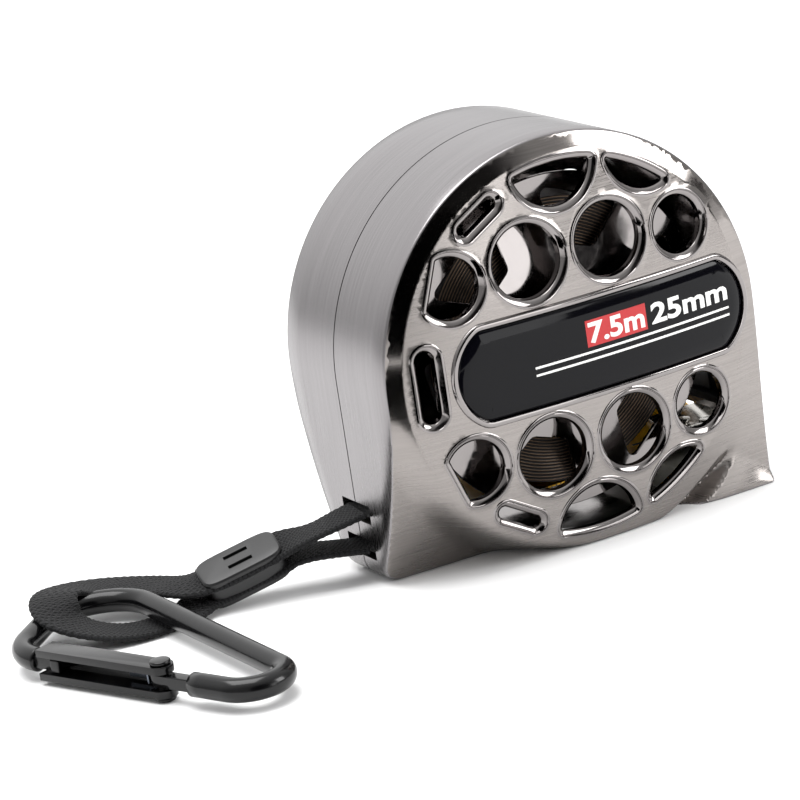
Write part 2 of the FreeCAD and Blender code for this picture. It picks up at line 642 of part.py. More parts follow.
strap_points = [
    Vector(-float(case_radius), 0, float(upper_slot)), Vector(-44.5, 0.5, 12.3), Vector(-49.5, 2.4, 10.7),
    slider_mouth(1, 1), slider_mouth(-1, 1),
    Vector(-72.5, 12.3, 5.2), Vector(-75.5, 18.5, 4.8), Vector(-81.5, 24.3, 5.0), Vector(-87.5, 25.6, 5.9),
    Vector(-92.3, 22.9, 7.3), Vector(-95.2, 18.0, 7.4), Vector(-95.7, 13.8, 5.7), Vector(-93.2, 10.6, 3.7),
    Vector(-88.5, 8.3, 1.9), Vector(-83.5, 7.3, 1.0), Vector(-78.2, 7.2, 0.79), Vector(-73.0, 7.9, 1.2),
    slider_mouth(-1, -1), slider_mouth(1, -1),
    Vector(-49.5, 3.0, 7.3), Vector(-44.5, 0.8, 7.0), Vector(-float(case_radius), 0, float(lower_slot))]


def rounded_path(points):
    """Straight runs joined by tangent arcs, each as large as its two runs allow."""
    edges, last = [], points[0]
    for before, here, after in zip(points, points[1:], points[2:]):
        come, leave = (here - before), (after - here)
        shorter = min(come.Length, leave.Length)
        come.normalize()
        leave.normalize()
        start, end = here - come * 0.45 * shorter, here + leave * 0.45 * shorter
        middle_way = (leave - come).normalize()
        half_turn = come.getAngle(leave) / 2
        radius = 0.45 * shorter / math.tan(half_turn)
        middle = here + middle_way * (radius / math.cos(half_turn) - radius)
        print("strap turn %5.1f deg, radius %5.1f mm" % (math.degrees(2 * half_turn), radius))
        edges.append(Part.LineSegment(last, start).toShape())
        edges.append(Part.Arc(start, middle, end).toShape())
        last = end
    edges.append(Part.LineSegment(last, points[-1]).toShape())
    return Part.Wire(edges)


def tube(path, radius, start, direction):
    ring = Part.Wire([Part.makeCircle(float(radius), start, direction)])
    return path.makePipeShell([ring], True, False)


strap_path = rounded_path(strap_points)
strap = keep("wrist_strap", feature("wrist_strap", tube(strap_path, strap_core, strap_points[0],
                                                        strap_points[1] - strap_points[0])))
expected = math.pi * float(strap_core) ** 2 * strap_path.Length
print("strap length %.1f mm, volume %.1f against %.1f" % (strap_path.Length, strap.Shape.Volume, expected))

turn_x = -float(case_radius) + float(wall) + 1.2
turn_start = Vector(-float(case_radius) + 0.4, 0, float(upper_slot))
turn_end = Vector(-float(case_radius) + 0.4, 0, float(lower_slot))
turn_top, turn_low = Vector(turn_x, 0, turn_start.z), Vector(turn_x, 0, turn_end.z)
turn_far = Vector(turn_x + (turn_top.z - turn_low.z) / 2, 0, (turn_top.z + turn_low.z) / 2)
turn_path = Part.Wire([Part.LineSegment(turn_start, turn_top).toShape(),
                       Part.Arc(turn_top, turn_far, turn_low).toShape(),
                       Part.LineSegment(turn_low, turn_end).toShape()])
keep("strap_turn", feature("strap_turn", tube(turn_path, strap_core, turn_start, X)))

# ---- carabiner ----------------------------------------------------------------------------

def outer_tangent(first, first_radius, second, second_radius):
    """Touching points of the line that runs outside two circles, walked anticlockwise."""
    way = second - first
    length = way.Length
    way.normalize()
    lean = (first_radius - second_radius) / length
    outward = way * lean + Vector(way.y, -way.x, 0) * math.sqrt(1 - lean * lean)
    return first + outward * first_radius, second + outward * second_radius


def arc_between(centre, radius, start, end):
    bulge = (start - centre) + (end - centre)
    bulge.normalize()
    return Part.Arc(start, centre + bulge * radius, end).toShape()


small, large, nose = float(ring_small), float(ring_large), float(ring_nose)
spine_low, spine_high = outer_tangent(narrow_end, small, spine_end, large)
top_right, top_left = outer_tangent(spine_end, large, nose_end, nose)
gate_top, gate_low = outer_tangent(nose_end, nose, narrow_end, small)
gate_way = (gate_low - gate_top).normalize()
rod_end = gate_top + gate_way * float(gate_rod_end)
wire_path = Part.Wire([
    arc_between(nose_end, nose, gate_top, top_left),
    Part.LineSegment(top_left, top_right).toShape(),
    arc_between(spine_end, large, top_right, spine_high),
    Part.LineSegment(spine_high, spine_low).toShape(),
    arc_between(narrow_end, small, spine_low, gate_low),
    Part.LineSegment(gate_low, rod_end).toShape()])
wire = feature("carabiner_wire", tube(wire_path, ring_wire, gate_top, gate_way))
wire.Placement = Placement(Vector(0, 0, float(ring_height)), Rotation())

gate_turn = Rotation(gate_way, Z.cross(gate_way), Z, "XZY")
gate_place = Placement(gate_top + Vector(0, 0, float(ring_height)), gate_turn)


def along_gate(obj):
    """Sets a piece that was drawn along +X into the line of the gate."""
    obj.Placement = gate_place
    return obj


nose_tongue = fuse("nose_tongue",
                   box("nose_neck", (-1, 4.4), (-1.2, 1.2), (-tongue_half, tongue_half)),
                   box("nose_head", (4.4, 6.4), (-1.9, 1.2), (-tongue_half, tongue_half)))
hinge_tongue = cut("hinge_tongue",
                   box("hinge_neck", (gate_pin_at - 2, gate_rod_end + 1), (-1.2, 1.2),
                       (-tongue_half, tongue_half)),
                   rod("hinge_bore", rivet_radius + rivet_clearance, -5, 5, "Z", (gate_pin_at, 0)))
tongues = along_gate(fuse("tongues", nose_tongue, hinge_tongue))
keep("carabiner_frame", fuse("carabiner_frame", wire, tongues))

gate_heel = gate_pin_at + gate_half_width
gate_block = fuse("gate_block",
                  box("gate_bar", (gate_start, gate_pin_at), (-gate_half_width, gate_half_width),
                      (-gate_half_height, gate_half_height)),
                  rod("gate_heel", gate_half_width, -gate_half_height, gate_half_height, "Z",
                      (gate_pin_at, 0)))
gate_channel = box("gate_channel", (gate_start - 1, gate_pin_at - 2.4),
                   (-gate_half_width - 1, gate_half_width - gate_wall),
                   (-tongue_half - 0.35, tongue_half + 0.35))
heel_channel = box("heel_channel", (gate_pin_at - 2.4, gate_heel + 1),
                   (-gate_half_width - 1, gate_half_width + 1), (-tongue_half - 0.35, tongue_half + 0.35))
gate_bore = rod("gate_bore", rivet_radius + rivet_clearance, -gate_half_height - 1, gate_half_height + 1,
                "Z", (gate_pin_at, 0))
keep("carabiner_gate", along_gate(cut("carabiner_gate", gate_block, gate_channel, heel_channel, gate_bore)))
head_low = gate_half_height + 0.05
keep("gate_rivet", along_gate(fuse(
    "gate_rivet", rod("rivet_shank", rivet_radius, -head_low, head_low, "Z", (gate_pin_at, 0)),
    rod("rivet_head_low", 1.9, -head_low - 0.75, -head_low, "Z", (gate_pin_at, 0)),
    rod("rivet_head_high", 1.9, head_low, head_low + 0.75, "Z", (gate_pin_at, 0)))))
spring_web = gate_half_width - gate_wall - 0.1
keep("gate_spring", along_gate(fuse(
    "gate_spring", box("spring_leaf", (gate_pin_at - 9, gate_pin_at - 2.6), (spring_web - 0.3, spring_web),
                       (-0.9, 0.9)),
    box("spring_foot", (gate_pin_at - 3, gate_pin_at - 2.6), (-0.9, spring_web), (-0.9, 0.9)))))

# ---- check and write ----------------------------------------------------------------------

doc.recompute()
for obj in doc.Objects:
    if "Invalid" in obj.State or "Error" in obj.State:
        raise RuntimeError("%s did not compute: %s" % (obj.Label, obj.State))
os.makedirs("parts", exist_ok=True)
for label, obj in nodes.items():
    shape = obj.Shape
    if shape.isNull() or not shape.isValid() or shape.Volume <= 0:
        raise RuntimeError("%s has no valid solid" % label)
    shape.exportStep("parts/%s.step" % label)
    print("%-20s %8.1f mm3  %d solid(s)" % (label, shape.Volume, len(shape.Solids)))
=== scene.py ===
import math

import bmesh
import bpy
import numpy as np
from mathutils import Matrix, Vector
from mathutils.geometry import delaunay_2d_cdt


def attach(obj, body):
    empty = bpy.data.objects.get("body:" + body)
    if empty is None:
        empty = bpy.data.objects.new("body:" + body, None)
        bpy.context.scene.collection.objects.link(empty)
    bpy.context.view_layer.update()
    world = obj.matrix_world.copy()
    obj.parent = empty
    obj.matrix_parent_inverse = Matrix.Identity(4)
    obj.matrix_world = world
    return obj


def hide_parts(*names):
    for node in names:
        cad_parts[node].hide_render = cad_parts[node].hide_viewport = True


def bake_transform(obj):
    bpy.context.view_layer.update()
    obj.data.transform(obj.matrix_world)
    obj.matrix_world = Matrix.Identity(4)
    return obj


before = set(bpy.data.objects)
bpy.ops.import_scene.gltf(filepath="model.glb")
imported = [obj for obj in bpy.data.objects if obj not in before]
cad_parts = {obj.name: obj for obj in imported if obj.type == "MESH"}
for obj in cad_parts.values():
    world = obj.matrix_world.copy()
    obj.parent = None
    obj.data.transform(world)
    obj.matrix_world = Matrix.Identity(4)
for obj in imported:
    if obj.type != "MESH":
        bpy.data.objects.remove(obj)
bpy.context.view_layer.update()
mm = 0.001
reelAxis = 38.0  # height of the reel axis above the base, mm

# sizes are in millimetres unless a name says otherwise


def linear(hexColour):
    # sRGB hex to linear RGB
    parts = [int(hexColour[i:i + 2], 16) / 255 for i in (1, 3, 5)]
    return [c / 12.92 if c <= 0.04045 else ((c + 0.055) / 1.055) ** 2.4 for c in parts] + [1.0]


def unit(vectors):
    return vectors / np.linalg.norm(vectors, axis=-1, keepdims=True)


def superEllipse(count, power, sidePower=None):
    # a rounded rectangle of half sizes 1, squarer as the powers shrink
    around = np.linspace(0, 2 * np.pi, count, endpoint=False)
    return [np.sign(wave) * np.abs(wave) ** bend
            for wave, bend in ((np.cos(around), power), (np.sin(around), sidePower or power))]


def placed(name, data):
    made = bpy.data.objects.new(name, data)
    bpy.context.collection.objects.link(made)
    return made


def evaluatedMesh(holder):
    # the mesh that an object's curve, letters or modifiers make
    bpy.context.view_layer.update()
    return bpy.data.meshes.new_from_object(holder.evaluated_get(bpy.context.evaluated_depsgraph_get()))


def finishMesh(mesh, sharpAngle):
    mesh.shade_smooth()
    mesh.set_sharp_from_angle(angle=math.radians(sharpAngle))
    mesh.update()


def standFor(piece, body=None, node=None, slotName=None):
    # what the piece rides on and the CAD node that it replaces; the colour slot is not used
    if body:
        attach(piece, body)
    if node:
        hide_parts(node)
    return piece


def makePiece(name, points, faces, materials, kinds=None, body="case", sharpAngle=32, node=None,
              slotName=None):
    # points in mm in the frame, faces as index lists, kinds as each face's material; equal points merge
    mesh = bpy.data.meshes.new(name)
    mesh.from_pydata((np.asarray(points, float) * mm).tolist(), [], [list(f) for f in faces])
    for material in materials:
        mesh.materials.append(material)
    if kinds is not None:
        mesh.polygons.foreach_set("material_index", np.asarray(kinds, np.int32))
    work = bmesh.new()
    work.from_mesh(mesh)
    bmesh.ops.remove_doubles(work, verts=work.verts, dist=2e-6)
    bmesh.ops.recalc_face_normals(work, faces=work.faces)
    work.to_mesh(mesh)
    work.free()
    finishMesh(mesh, sharpAngle)
    return standFor(placed(name, mesh), body, node, slotName)


def loftFaces(rows, count, wrap=False, caps=True):
    # quads of a grid of closed sections; wrap joins the last to the first, caps close both ends
    index = np.arange(rows * count).reshape(rows, count)
    after = np.roll(index, -1, axis=1)
    if wrap:
        following, followingAfter = np.roll(index, -1, axis=0), np.roll(after, -1, axis=0)
        return np.stack([index, after, followingAfter, following], axis=-1).reshape(-1, 4).tolist()
    quads = np.stack([index[:-1], after[:-1], after[1:], index[1:]], axis=-1).reshape(-1, 4).tolist()
    return quads + ([index[0][::-1].tolist(), index[-1].tolist()] if caps else [])


def strip(rings):
    # closed rings of equal length joined by quads, open at both ends
    return np.concatenate(rings), loftFaces(len(rings), len(rings[0]), caps=False)


def turned(profile, centre, axis, count, wrap=False):
    # a profile of (radius, distance along the axis) swept once round it; wrap for a closed profile
    around = np.linspace(0, 2 * np.pi, count, endpoint=False)
    axis = np.array(axis, float)
    side = np.array([1.0, 0, 0]) if abs(axis[0]) < 0.5 else np.array([0, 1.0, 0])
    ring = np.outer(np.cos(around), side) + np.outer(np.sin(around), np.cross(axis, side))
    profile = np.array(profile, float)
    points = (np.array(centre) + profile[:, 0, None, None] * ring[None]
              + profile[:, 1, None, None] * axis).reshape(-1, 3)
    return points, loftFaces(len(profile), count, wrap=wrap)


def roundedProfile(corners, radius, steps=3):
    # a closed run of corners, each replaced by a short curve that starts the radius away from it
    corners = np.array(corners, float)
    share = np.linspace(0, 1, steps + 1)[:, None]
    made = []
    for before, here, after in zip(np.roll(corners, 1, axis=0), corners, np.roll(corners, -1, axis=0)):
        come, leave = before - here, after - here
        reach = min(radius, np.linalg.norm(come) * 0.45, np.linalg.norm(leave) * 0.45)
        first, last = here + unit(come) * reach, here + unit(leave) * reach
        made.append(first * (1 - share) ** 2 + here * 2 * share * (1 - share) + last * share ** 2)
    return np.concatenate(made)


def roundedBlock(low, high, radius, power=0.3, rows=9, count=48):
    # a block with soft edges: a superellipse section along z, drawn in near both ends
    low, high = np.array(low, float), np.array(high, float)
    middle, half = (low + high) / 2, (high - low) / 2
    turn = np.linspace(-np.pi / 2, np.pi / 2, rows)
    pull = radius * (1 - np.cos(turn))
    level = np.where(turn < 0, -half[2] + radius, half[2] - radius) + radius * np.sin(turn)
    u, v = superEllipse(count, power)
    points = np.stack([middle[0] + (half[0] - pull)[:, None] * u, middle[1] + (half[1] - pull)[:, None] * v,
                       np.repeat((middle[2] + level)[:, None], count, axis=1)], axis=-1)
    return points.reshape(-1, 3), loftFaces(rows, count)


def boxShape(centre, halves):
    # a block from its centre and three half axes
    signs = np.array([(a, b, c) for a in (-1, 1) for b in (-1, 1) for c in (-1, 1)], float)
    faces = [(0, 1, 3, 2), (4, 6, 7, 5), (0, 4, 5, 1), (2, 3, 7, 6), (0, 2, 6, 4), (1, 5, 7, 3)]
    return np.array(centre) + signs @ np.array(halves, float), faces


def joined(parts):
    # several sets of points and faces as one
    points, faces, total = [], [], 0
    for newPoints, newFaces in parts:
        points.append(np.asarray(newPoints, float))
        faces += [[corner + total for corner in face] for face in newFaces]
        total += len(newPoints)
    return np.concatenate(points), faces


def cutAway(piece, shapes):
    # takes closed shapes out of a piece with an exact boolean
    cutter = makePiece("cutter", *joined(shapes), [], body=None)
    change = piece.modifiers.new("cut", "BOOLEAN")
    change.operation, change.solver, change.object = "DIFFERENCE", "EXACT", cutter
    result = evaluatedMesh(piece)
    piece.modifiers.clear()
    old, piece.data = piece.data, result
    bpy.data.meshes.remove(old)
    bpy.data.objects.remove(cutter)
    finishMesh(result, 32)


# materials


def addNode(tree, kind, inputs=None, **settings):
    # one node with its settings; a socket among the inputs is linked, anything else is a value
    made = tree.nodes.new(kind)
    for name, value in settings.items():
        setattr(made, name, value)
    for name, value in (inputs or {}).items():
        socket = made.inputs[name]
        if isinstance(value, bpy.types.NodeSocket):
            tree.links.new(value, socket)
        else:
            socket.default_value = value
    return made


def objectPlace(tree):
    return addNode(tree, "ShaderNodeTexCoord").outputs["Object"]


def mapped(tree, place, **inputs):
    return addNode(tree, "ShaderNodeMapping", {"Vector": place, **inputs}).outputs["Vector"]


def noise(tree, place, scale, detail=2.0, roughness=0.5):
    return addNode(tree, "ShaderNodeTexNoise", {"Vector": place, "Scale": scale, "Detail": detail,
                                                "Roughness": roughness}).outputs["Fac"]


def figured(tree, operation, *values):
    return addNode(tree, "ShaderNodeMath", dict(enumerate(values)), operation=operation).outputs[0]


def ranged(tree, value, source, target, **settings):
    # carries the source range onto the target range, clamped
    return addNode(tree, "ShaderNodeMapRange", {
        "Value": value, "From Min": source[0], "From Max": source[1], "To Min": target[0],
        "To Max": target[1]}, **settings).outputs["Result"]


def ramp(tree, value, dark, light, ends=(0, 1)):
    made = addNode(tree, "ShaderNodeValToRGB", {"Fac": value})
    for stop, colour, position in zip(made.color_ramp.elements, (dark, light), ends):
        stop.color, stop.position = colour, position
    return made.outputs["Color"]


def mixed(tree, share, first, second):
    return addNode(tree, "ShaderNodeMix", {"Factor": share, 6: first, 7: second},
                   data_type="RGBA").outputs[2]


def bump(tree, height, strength, distance):
    # distance in metres
    return addNode(tree, "ShaderNodeBump", {"Height": height, "Strength": strength,
                                            "Distance": distance}).outputs["Normal"]


def axisDistance(tree, place):
    # distance from the reel axis, in metres
    flat = mapped(tree, place, Location=(0, 0, -reelAxis * mm), Scale=(1, 0, 1))
    return addNode(tree, "ShaderNodeVectorMath", {0: flat}, operation="LENGTH").outputs["Value"]


def newMaterial(name, colour, metallic, roughness, **values):
    made = bpy.data.materials.new(name)
    made.use_nodes = True
    shader = made.node_tree.nodes["Principled BSDF"]
    for key, value in {"Base Color": linear(colour), "Metallic": metallic, "Roughness": roughness,
                       **values}.items():
        shader.inputs[key.replace("_", " ")].default_value = value
    return made, made.node_tree, shader


def connect(tree, shader, **outputs):
    for key, value in outputs.items():
        tree.links.new(value, shader.inputs[key.replace("_", " ")])


def brushedPlate(name, lineScale, colour, rough, ringRough):
    # satin nickel plate on ABS, rubbed with a fine wheel: long hairlines that spread the gloss across
    # them; on the upper ring round the face, past 36.4 mm, the lines fade out and the plate mirrors
    material, tree, shader = newMaterial(name, colour, 1.0, rough)
    place = objectPlace(tree)
    height = addNode(tree, "ShaderNodeSeparateXYZ", {0: place}).outputs["Z"]
    bright = figured(tree, "MULTIPLY", ranged(tree, axisDistance(tree, place), (0.0362, 0.0366), (0, 1)),
                     ranged(tree, height, (0.022, 0.042), (0, 1)))
    hair = noise(tree, mapped(tree, place, Scale=lineScale), 1.0, 3.0, 0.65)
    gloss = ranged(tree, figured(tree, "MULTIPLY", hair, noise(tree, place, 55.0)), (0.1, 0.4),
                   (rough - 0.07, rough + 0.08))
    light = linear(colour)
    connect(tree, shader, Roughness=ranged(tree, bright, (0, 1), (gloss, ringRough)),
            Base_Color=ramp(tree, hair, [c * 0.84 for c in light[:3]] + [1], light, (0.3, 0.7)),
            Normal=bump(tree, hair, ranged(tree, bright, (0, 1), (0.16, 0.02)), 0.00006))
    return material


def polishedPlate():
    # the same plate where the wheel can't reach: mirror bright, with faint handling marks
    material, tree, shader = newMaterial("polishedNickelPlate", "#858180", 1.0, 0.08)
    marks = noise(tree, objectPlace(tree), 320.0, 3.0, 0.6)
    connect(tree, shader, Roughness=ranged(tree, marks, (0.35, 0.75), (0.05, 0.17)))
    return material


def plainPlastic(name, colour, rough, grain=0.0004, depth=0.00002, coat=0.0):
    # injection moulding with a fine spark-eroded grain, or a flat screen print
    material, tree, shader = newMaterial(name, colour, 0.0, rough, IOR=1.5, Coat_Weight=coat)
    place = objectPlace(tree)
    connect(tree, shader, Normal=bump(tree, noise(tree, place, 1 / grain), 0.35, depth),
            Roughness=ranged(tree, noise(tree, place, 120.0), (0, 1), (rough - 0.06, rough + 0.08)))
    return material


def glossPaint():
    # black stove enamel on steel wire: deep gloss with slight orange peel and dust
    material, tree, shader = newMaterial("stovedBlackPaint", "#060607", 0.0, 0.2, IOR=1.5,
                                         Specular_IOR_Level=0.3, Coat_Weight=0.05, Coat_Roughness=0.06)
    place = objectPlace(tree)
    connect(tree, shader, Normal=bump(tree, noise(tree, place, 420.0, 1.0), 0.25, 0.00008),
            Roughness=ranged(tree, noise(tree, place, 90.0, 3.0), (0.3, 0.7), (0.12, 0.26)))
    return material


def wovenPolyester():
    # black needle-loom webbing: ribs across the width and slanted yarns, from the ribbon's own UV in mm
    material, tree, shader = newMaterial("wovenPolyester", "#0a0a0b", 0.0, 0.75, Specular_IOR_Level=0.25,
                                         Sheen_Weight=0.05, Sheen_Roughness=0.4)
    place = addNode(tree, "ShaderNodeUVMap", uv_map="UVMap").outputs["UV"]
    woven = figured(tree, "MAXIMUM", *[addNode(tree, "ShaderNodeTexWave", {
        "Vector": mapped(tree, place, Rotation=(0, 0, math.radians(lean))), "Scale": 0.42,
        "Distortion": 1.2, "Detail": 2.0, "Detail Scale": 2.5}).outputs["Fac"] for lean in (32, -32)])
    height = figured(tree, "ADD", woven, noise(tree, place, 6.0, 4.0))
    connect(tree, shader, Base_Color=ramp(tree, woven, linear("#030303"), linear("#18181a")),
            Normal=bump(tree, height, 0.9, 0.0003))
    return material


def woundSteel():
    # lacquered steel strip seen on edge: fine rings, one for each turn, drawn at 0.6 mm to show; the dark bands
    # are painted shade in the gaps between the turns, the light bands the strip's own edges
    material, tree, shader = newMaterial("woundBlade", "#2a2420", 0.7, 0.38)
    turns = figured(tree, "MULTIPLY", axisDistance(tree, objectPlace(tree)), 2 * math.pi / 0.0006)
    rings = figured(tree, "SINE", turns)
    # colour runs from painted shade between the turns, dark, to the strip's lighter edges
    connect(tree, shader, Base_Color=ramp(tree, rings, linear("#120f0d"), linear("#5a4a3c")),
            Normal=bump(tree, rings, 0.6, 0.0001))
    return material


def platedSteel(name, colour, rough):
    # drawn or stamped steel with a thin plate: bright, with scratches of a hand's use
    material, tree, shader = newMaterial(name, colour, 1.0, rough)
    place = objectPlace(tree)
    lines = noise(tree, mapped(tree, place, Scale=(1, 0.12, 1)), 1040.0, 3.0)
    connect(tree, shader, Normal=bump(tree, lines, 0.15, 0.00004),
            Roughness=ranged(tree, noise(tree, place, 260.0), (0.3, 0.7), (rough - 0.06, rough + 0.1)))
    return material


bladeFacts = {"back": -20, "front": 40.25, "half": 12.5, "edge": 10.6, "sag": 2.6, "thickness": 0.25,
              "hookFace": 40.75}
# each rank of graduations: pitch, line width and how far it reaches in from the blade's edge
graduations = ((1, 0.22, 3.5), (5, 0.26, 5.2), (10, 0.3, 7.8))


def yellowLacquer():
    # baked yellow lacquer with black print above, plain dark steel below; the graduations are measured
    # from the hook's inner face
    material, tree, shader = newMaterial("yellowLacquerPrinted", "#e2a90f", 0.0, 0.3, IOR=1.5)
    parts = addNode(tree, "ShaderNodeSeparateXYZ", {0: objectPlace(tree)})
    fromHook = figured(tree, "SUBTRACT", bladeFacts["hookFace"] * mm, parts.outputs["X"])
    fromMiddle = figured(tree, "ABSOLUTE", parts.outputs["Y"])
    ink = 0.0
    for pitch, width, reach in graduations:
        off = figured(tree, "PINGPONG", fromHook, pitch * mm / 2)
        line = figured(tree, "MULTIPLY", figured(tree, "LESS_THAN", off, width * mm / 2),
                       figured(tree, "GREATER_THAN", fromMiddle, (bladeFacts["half"] - reach) * mm))
        ink = figured(tree, "MAXIMUM", ink, line)
    printed = mixed(tree, ink, linear("#e2a90f"), linear("#101010"))
    facing = addNode(tree, "ShaderNodeNewGeometry").outputs["Normal"]
    facing = addNode(tree, "ShaderNodeSeparateXYZ", {0: facing})
    above = figured(tree, "GREATER_THAN", facing.outputs["Z"], 0.0)
    connect(tree, shader, Base_Color=mixed(tree, above, linear("#2b2a28"), printed))
    return material


def blackResin():
    # printed polyester under a cast clear resin dome: black with a wet gloss
    material, tree, shader = newMaterial("blackPrintUnderResin", "#06060a", 0.0, 0.06, IOR=1.5,
                                         Specular_IOR_Level=0.17)
    wear = noise(tree, objectPlace(tree), 140.0, 4.0)
    connect(tree, shader, Roughness=ranged(tree, wear, (0.4, 0.8), (0.05, 0.16)))
    return material


springSteel = platedSteel("bluedSpringSteel", "#5b6068", 0.3)
hookNickel = platedSteel("nickelPlatedSteel", "#b9b6b1", 0.22)
zinc = platedSteel("zincPlatedSteel", "#a9abad", 0.3)
bladePaint = yellowLacquer()
softRubber = plainPlastic("blackRubber", "#111112", 0.7, grain=0.0003, depth=0.00004)
naturalPlastic = plainPlastic("naturalAcetal", "#c9c7bd", 0.4)
lockPlastic = plainPlastic("satinBlackAbs", "#131314", 0.4, coat=0.05)
whiteInk = plainPlastic("whiteScreenPrint", "#e9e9e6", 0.3)
redInk = plainPlastic("redScreenPrint", "#b3161b", 0.3)
blackInk = plainPlastic("blackScreenPrint", "#0c0c0c", 0.35)
faceHair = brushedPlate("brushedNickelFace", (70, 70, 3000), "#918c89", 0.27, 0.09)
wallHair = brushedPlate("brushedNickelWall", (45, 3000, 45), "#8d8a8b", 0.25, 0.25)
polished = polishedPlate()
paint = glossPaint()
webbing = wovenPolyester()
satinBlack = plainPlastic("satinBlackNylon", "#0e0e0f", 0.42)
coil = woundSteel()
resin = blackResin()
print("materials ready")

# camera and light

cameraFacts = {"place": (-0.3251, -0.5902, 0.2240), "right": (0.86324635, -0.48309362, -0.14637722),
               "up": (0.26065651, 0.17827575, 0.94882872), "lens": 167.8, "sensor": 36, "clip": 0.01}


def placeCamera(facts):
    data = bpy.data.cameras.new("camera")
    data.lens, data.sensor_width, data.clip_start = facts["lens"], facts["sensor"], facts["clip"]
    right, up = Vector(facts["right"]), Vector(facts["up"])
    turn = Matrix((right, up, right.cross(up))).transposed().to_4x4()
    camera = placed("camera", data)
    camera.matrix_world = Matrix.Translation(facts["place"]) @ turn
    bpy.context.scene.camera = camera
    bpy.context.scene.view_settings.view_transform = "Standard"


# the tent's strengths, the way to its dark opening, and the opening's half angle in degrees
tentFacts = {"front": 0.55, "back": 1.5, "bright": (0, 0.45, 0.9), "darkWay": (-0.05, -0.97, 0.25),
             "darkSpread": 24, "dark": 0.03}


def lightTent(facts):
    # a pale tent, brighter above and behind, with a dark opening at the front that the plating mirrors
    world = bpy.data.worlds.new("tent")
    world.use_nodes = True
    bpy.context.scene.world = world
    tree = world.node_tree
    place = addNode(tree, "ShaderNodeTexCoord").outputs["Generated"]
    edge = math.cos(math.radians(facts["darkSpread"]))
    tones = []
    for way, source, target in (
            (facts["bright"], (0.15, 0.85), (facts["front"], facts["back"])),
            (tuple(Vector(facts["darkWay"]).normalized()), (edge - 0.05, edge + 0.03),
             (1.0, facts["dark"]))):
        facing = addNode(tree, "ShaderNodeVectorMath", {0: place, 1: way}, operation="DOT_PRODUCT")
        tones.append(ranged(tree, facing.outputs["Value"], source, target, interpolation_type="SMOOTHSTEP"))
    background = tree.nodes["Background"]
    connect(tree, background, Strength=figured(tree, "MULTIPLY", *tones))
    background.inputs["Color"].default_value = (1, 1, 1, 1)


def softBox(name, place, aim, size, power):
    data = bpy.data.lights.new(name, "AREA")
    data.shape = "RECTANGLE"
    data.size, data.size_y = size
    data.energy = power
    lamp = placed(name, data)
    lamp.location = place
    lamp.rotation_euler = (Vector(aim) - Vector(place)).to_track_quat("-Z", "Y").to_euler()


def stageSheet(name, corners, material):
    mesh = bpy.data.meshes.new(name)
    mesh.from_pydata(corners, [], [(0, 1, 2, 3)])
    mesh.materials.append(material)
    sheet = placed(name, mesh)
    return sheet


def studioCard(name, corners, strength):
    # a card that only the glossy surfaces see, as a photographer's flag or reflector stands out of view
    material = newMaterial(name, "#000000", 0.0, 1.0, Emission_Color=(1, 1, 1, 1),
                           Emission_Strength=strength, Specular_IOR_Level=0.0)[0]
    card = stageSheet(name, corners, material)
    card.visible_camera = card.visible_diffuse = card.visible_shadow = card.visible_transmission = False


# corners in metres, and strength
studioCards = {
    "blackFlag": ([(-0.15, -0.27, 0.0006), (-0.035, -0.27, 0.0006), (-0.045, -0.08, 0.0006),
                   (-0.15, -0.08, 0.0006)], 0.0),
    "blackStand": ([(-0.12, -0.31, 0), (0.035, -0.31, 0), (0.035, -0.31, 0.15), (-0.12, -0.31, 0.15)], 0.0),
    "whiteReflector": ([(0.06, -0.46, 0), (0.20, -0.46, 0), (0.27, -0.46, 0.16), (0.06, -0.46, 0.16)], 3.6),
    "darkReflector": ([(0.22, -0.46, 0), (0.55, -0.3, 0), (0.55, -0.3, 0.1), (0.22, -0.46, 0.1)], 0.06)}

placeCamera(cameraFacts)
lightTent(tentFacts)
softBox("topLight", (-0.15, 0.1, 0.8), (0, 0, 0.03), (0.6, 0.6), 7.0)
softBox("rightLight", (0.55, -0.5, 0.3), (0, 0, 0.03), (0.3, 0.4), 3.5)
for cardName, (cardCorners, cardStrength) in studioCards.items():
    studioCard(cardName, cardCorners, cardStrength)
stageSheet("floor", [(-3, -3, 0), (3, -3, 0), (3, 3, 0), (-3, 3, 0)],
           newMaterial("whitePaper", "#f2f2f2", 0.0, 0.7, Specular_IOR_Level=0.1)[0])
print("camera, tent and floor ready")

# strap

strapFacts = {"width": 9.0, "thickness": 1.25, "ribPitch": 1.25, "rib": 0.10, "selvage": 0.25,
              "waver": 0.018, "length": 0.1345, "steps": 12}
sliderFacts = {"centre": (-61.3, 7.0, 6.3), "along": (0.937, -0.238, 0.255), "down": (0.310, 0.236, -0.921),
               "length": 16.0, "width": 8.4, "height": 6.4, "slotOffset": 1.6, "corner": 0.38,
               "legSlot": (12, 3.35, 0.85), "topSlot": (2.4, 0.5, 0.6), "topSlotAt": 1.5}


def sliderAxes(facts):
    along = Vector(facts["along"]).normalized()
    down = Vector(facts["down"])
    down = (down - along * down.dot(along)).normalized()
    return np.array(along), np.array(down.cross(along).normalized()), np.array(-down)


sliderAlong, sliderAcross, sliderUp = sliderAxes(sliderFacts)
sliderCentre = np.array(sliderFacts["centre"])


def sliderMouth(end, level):
    return (sliderCentre + sliderAlong * end * sliderFacts["length"] / 2
            + sliderUp * level * sliderFacts["slotOffset"])


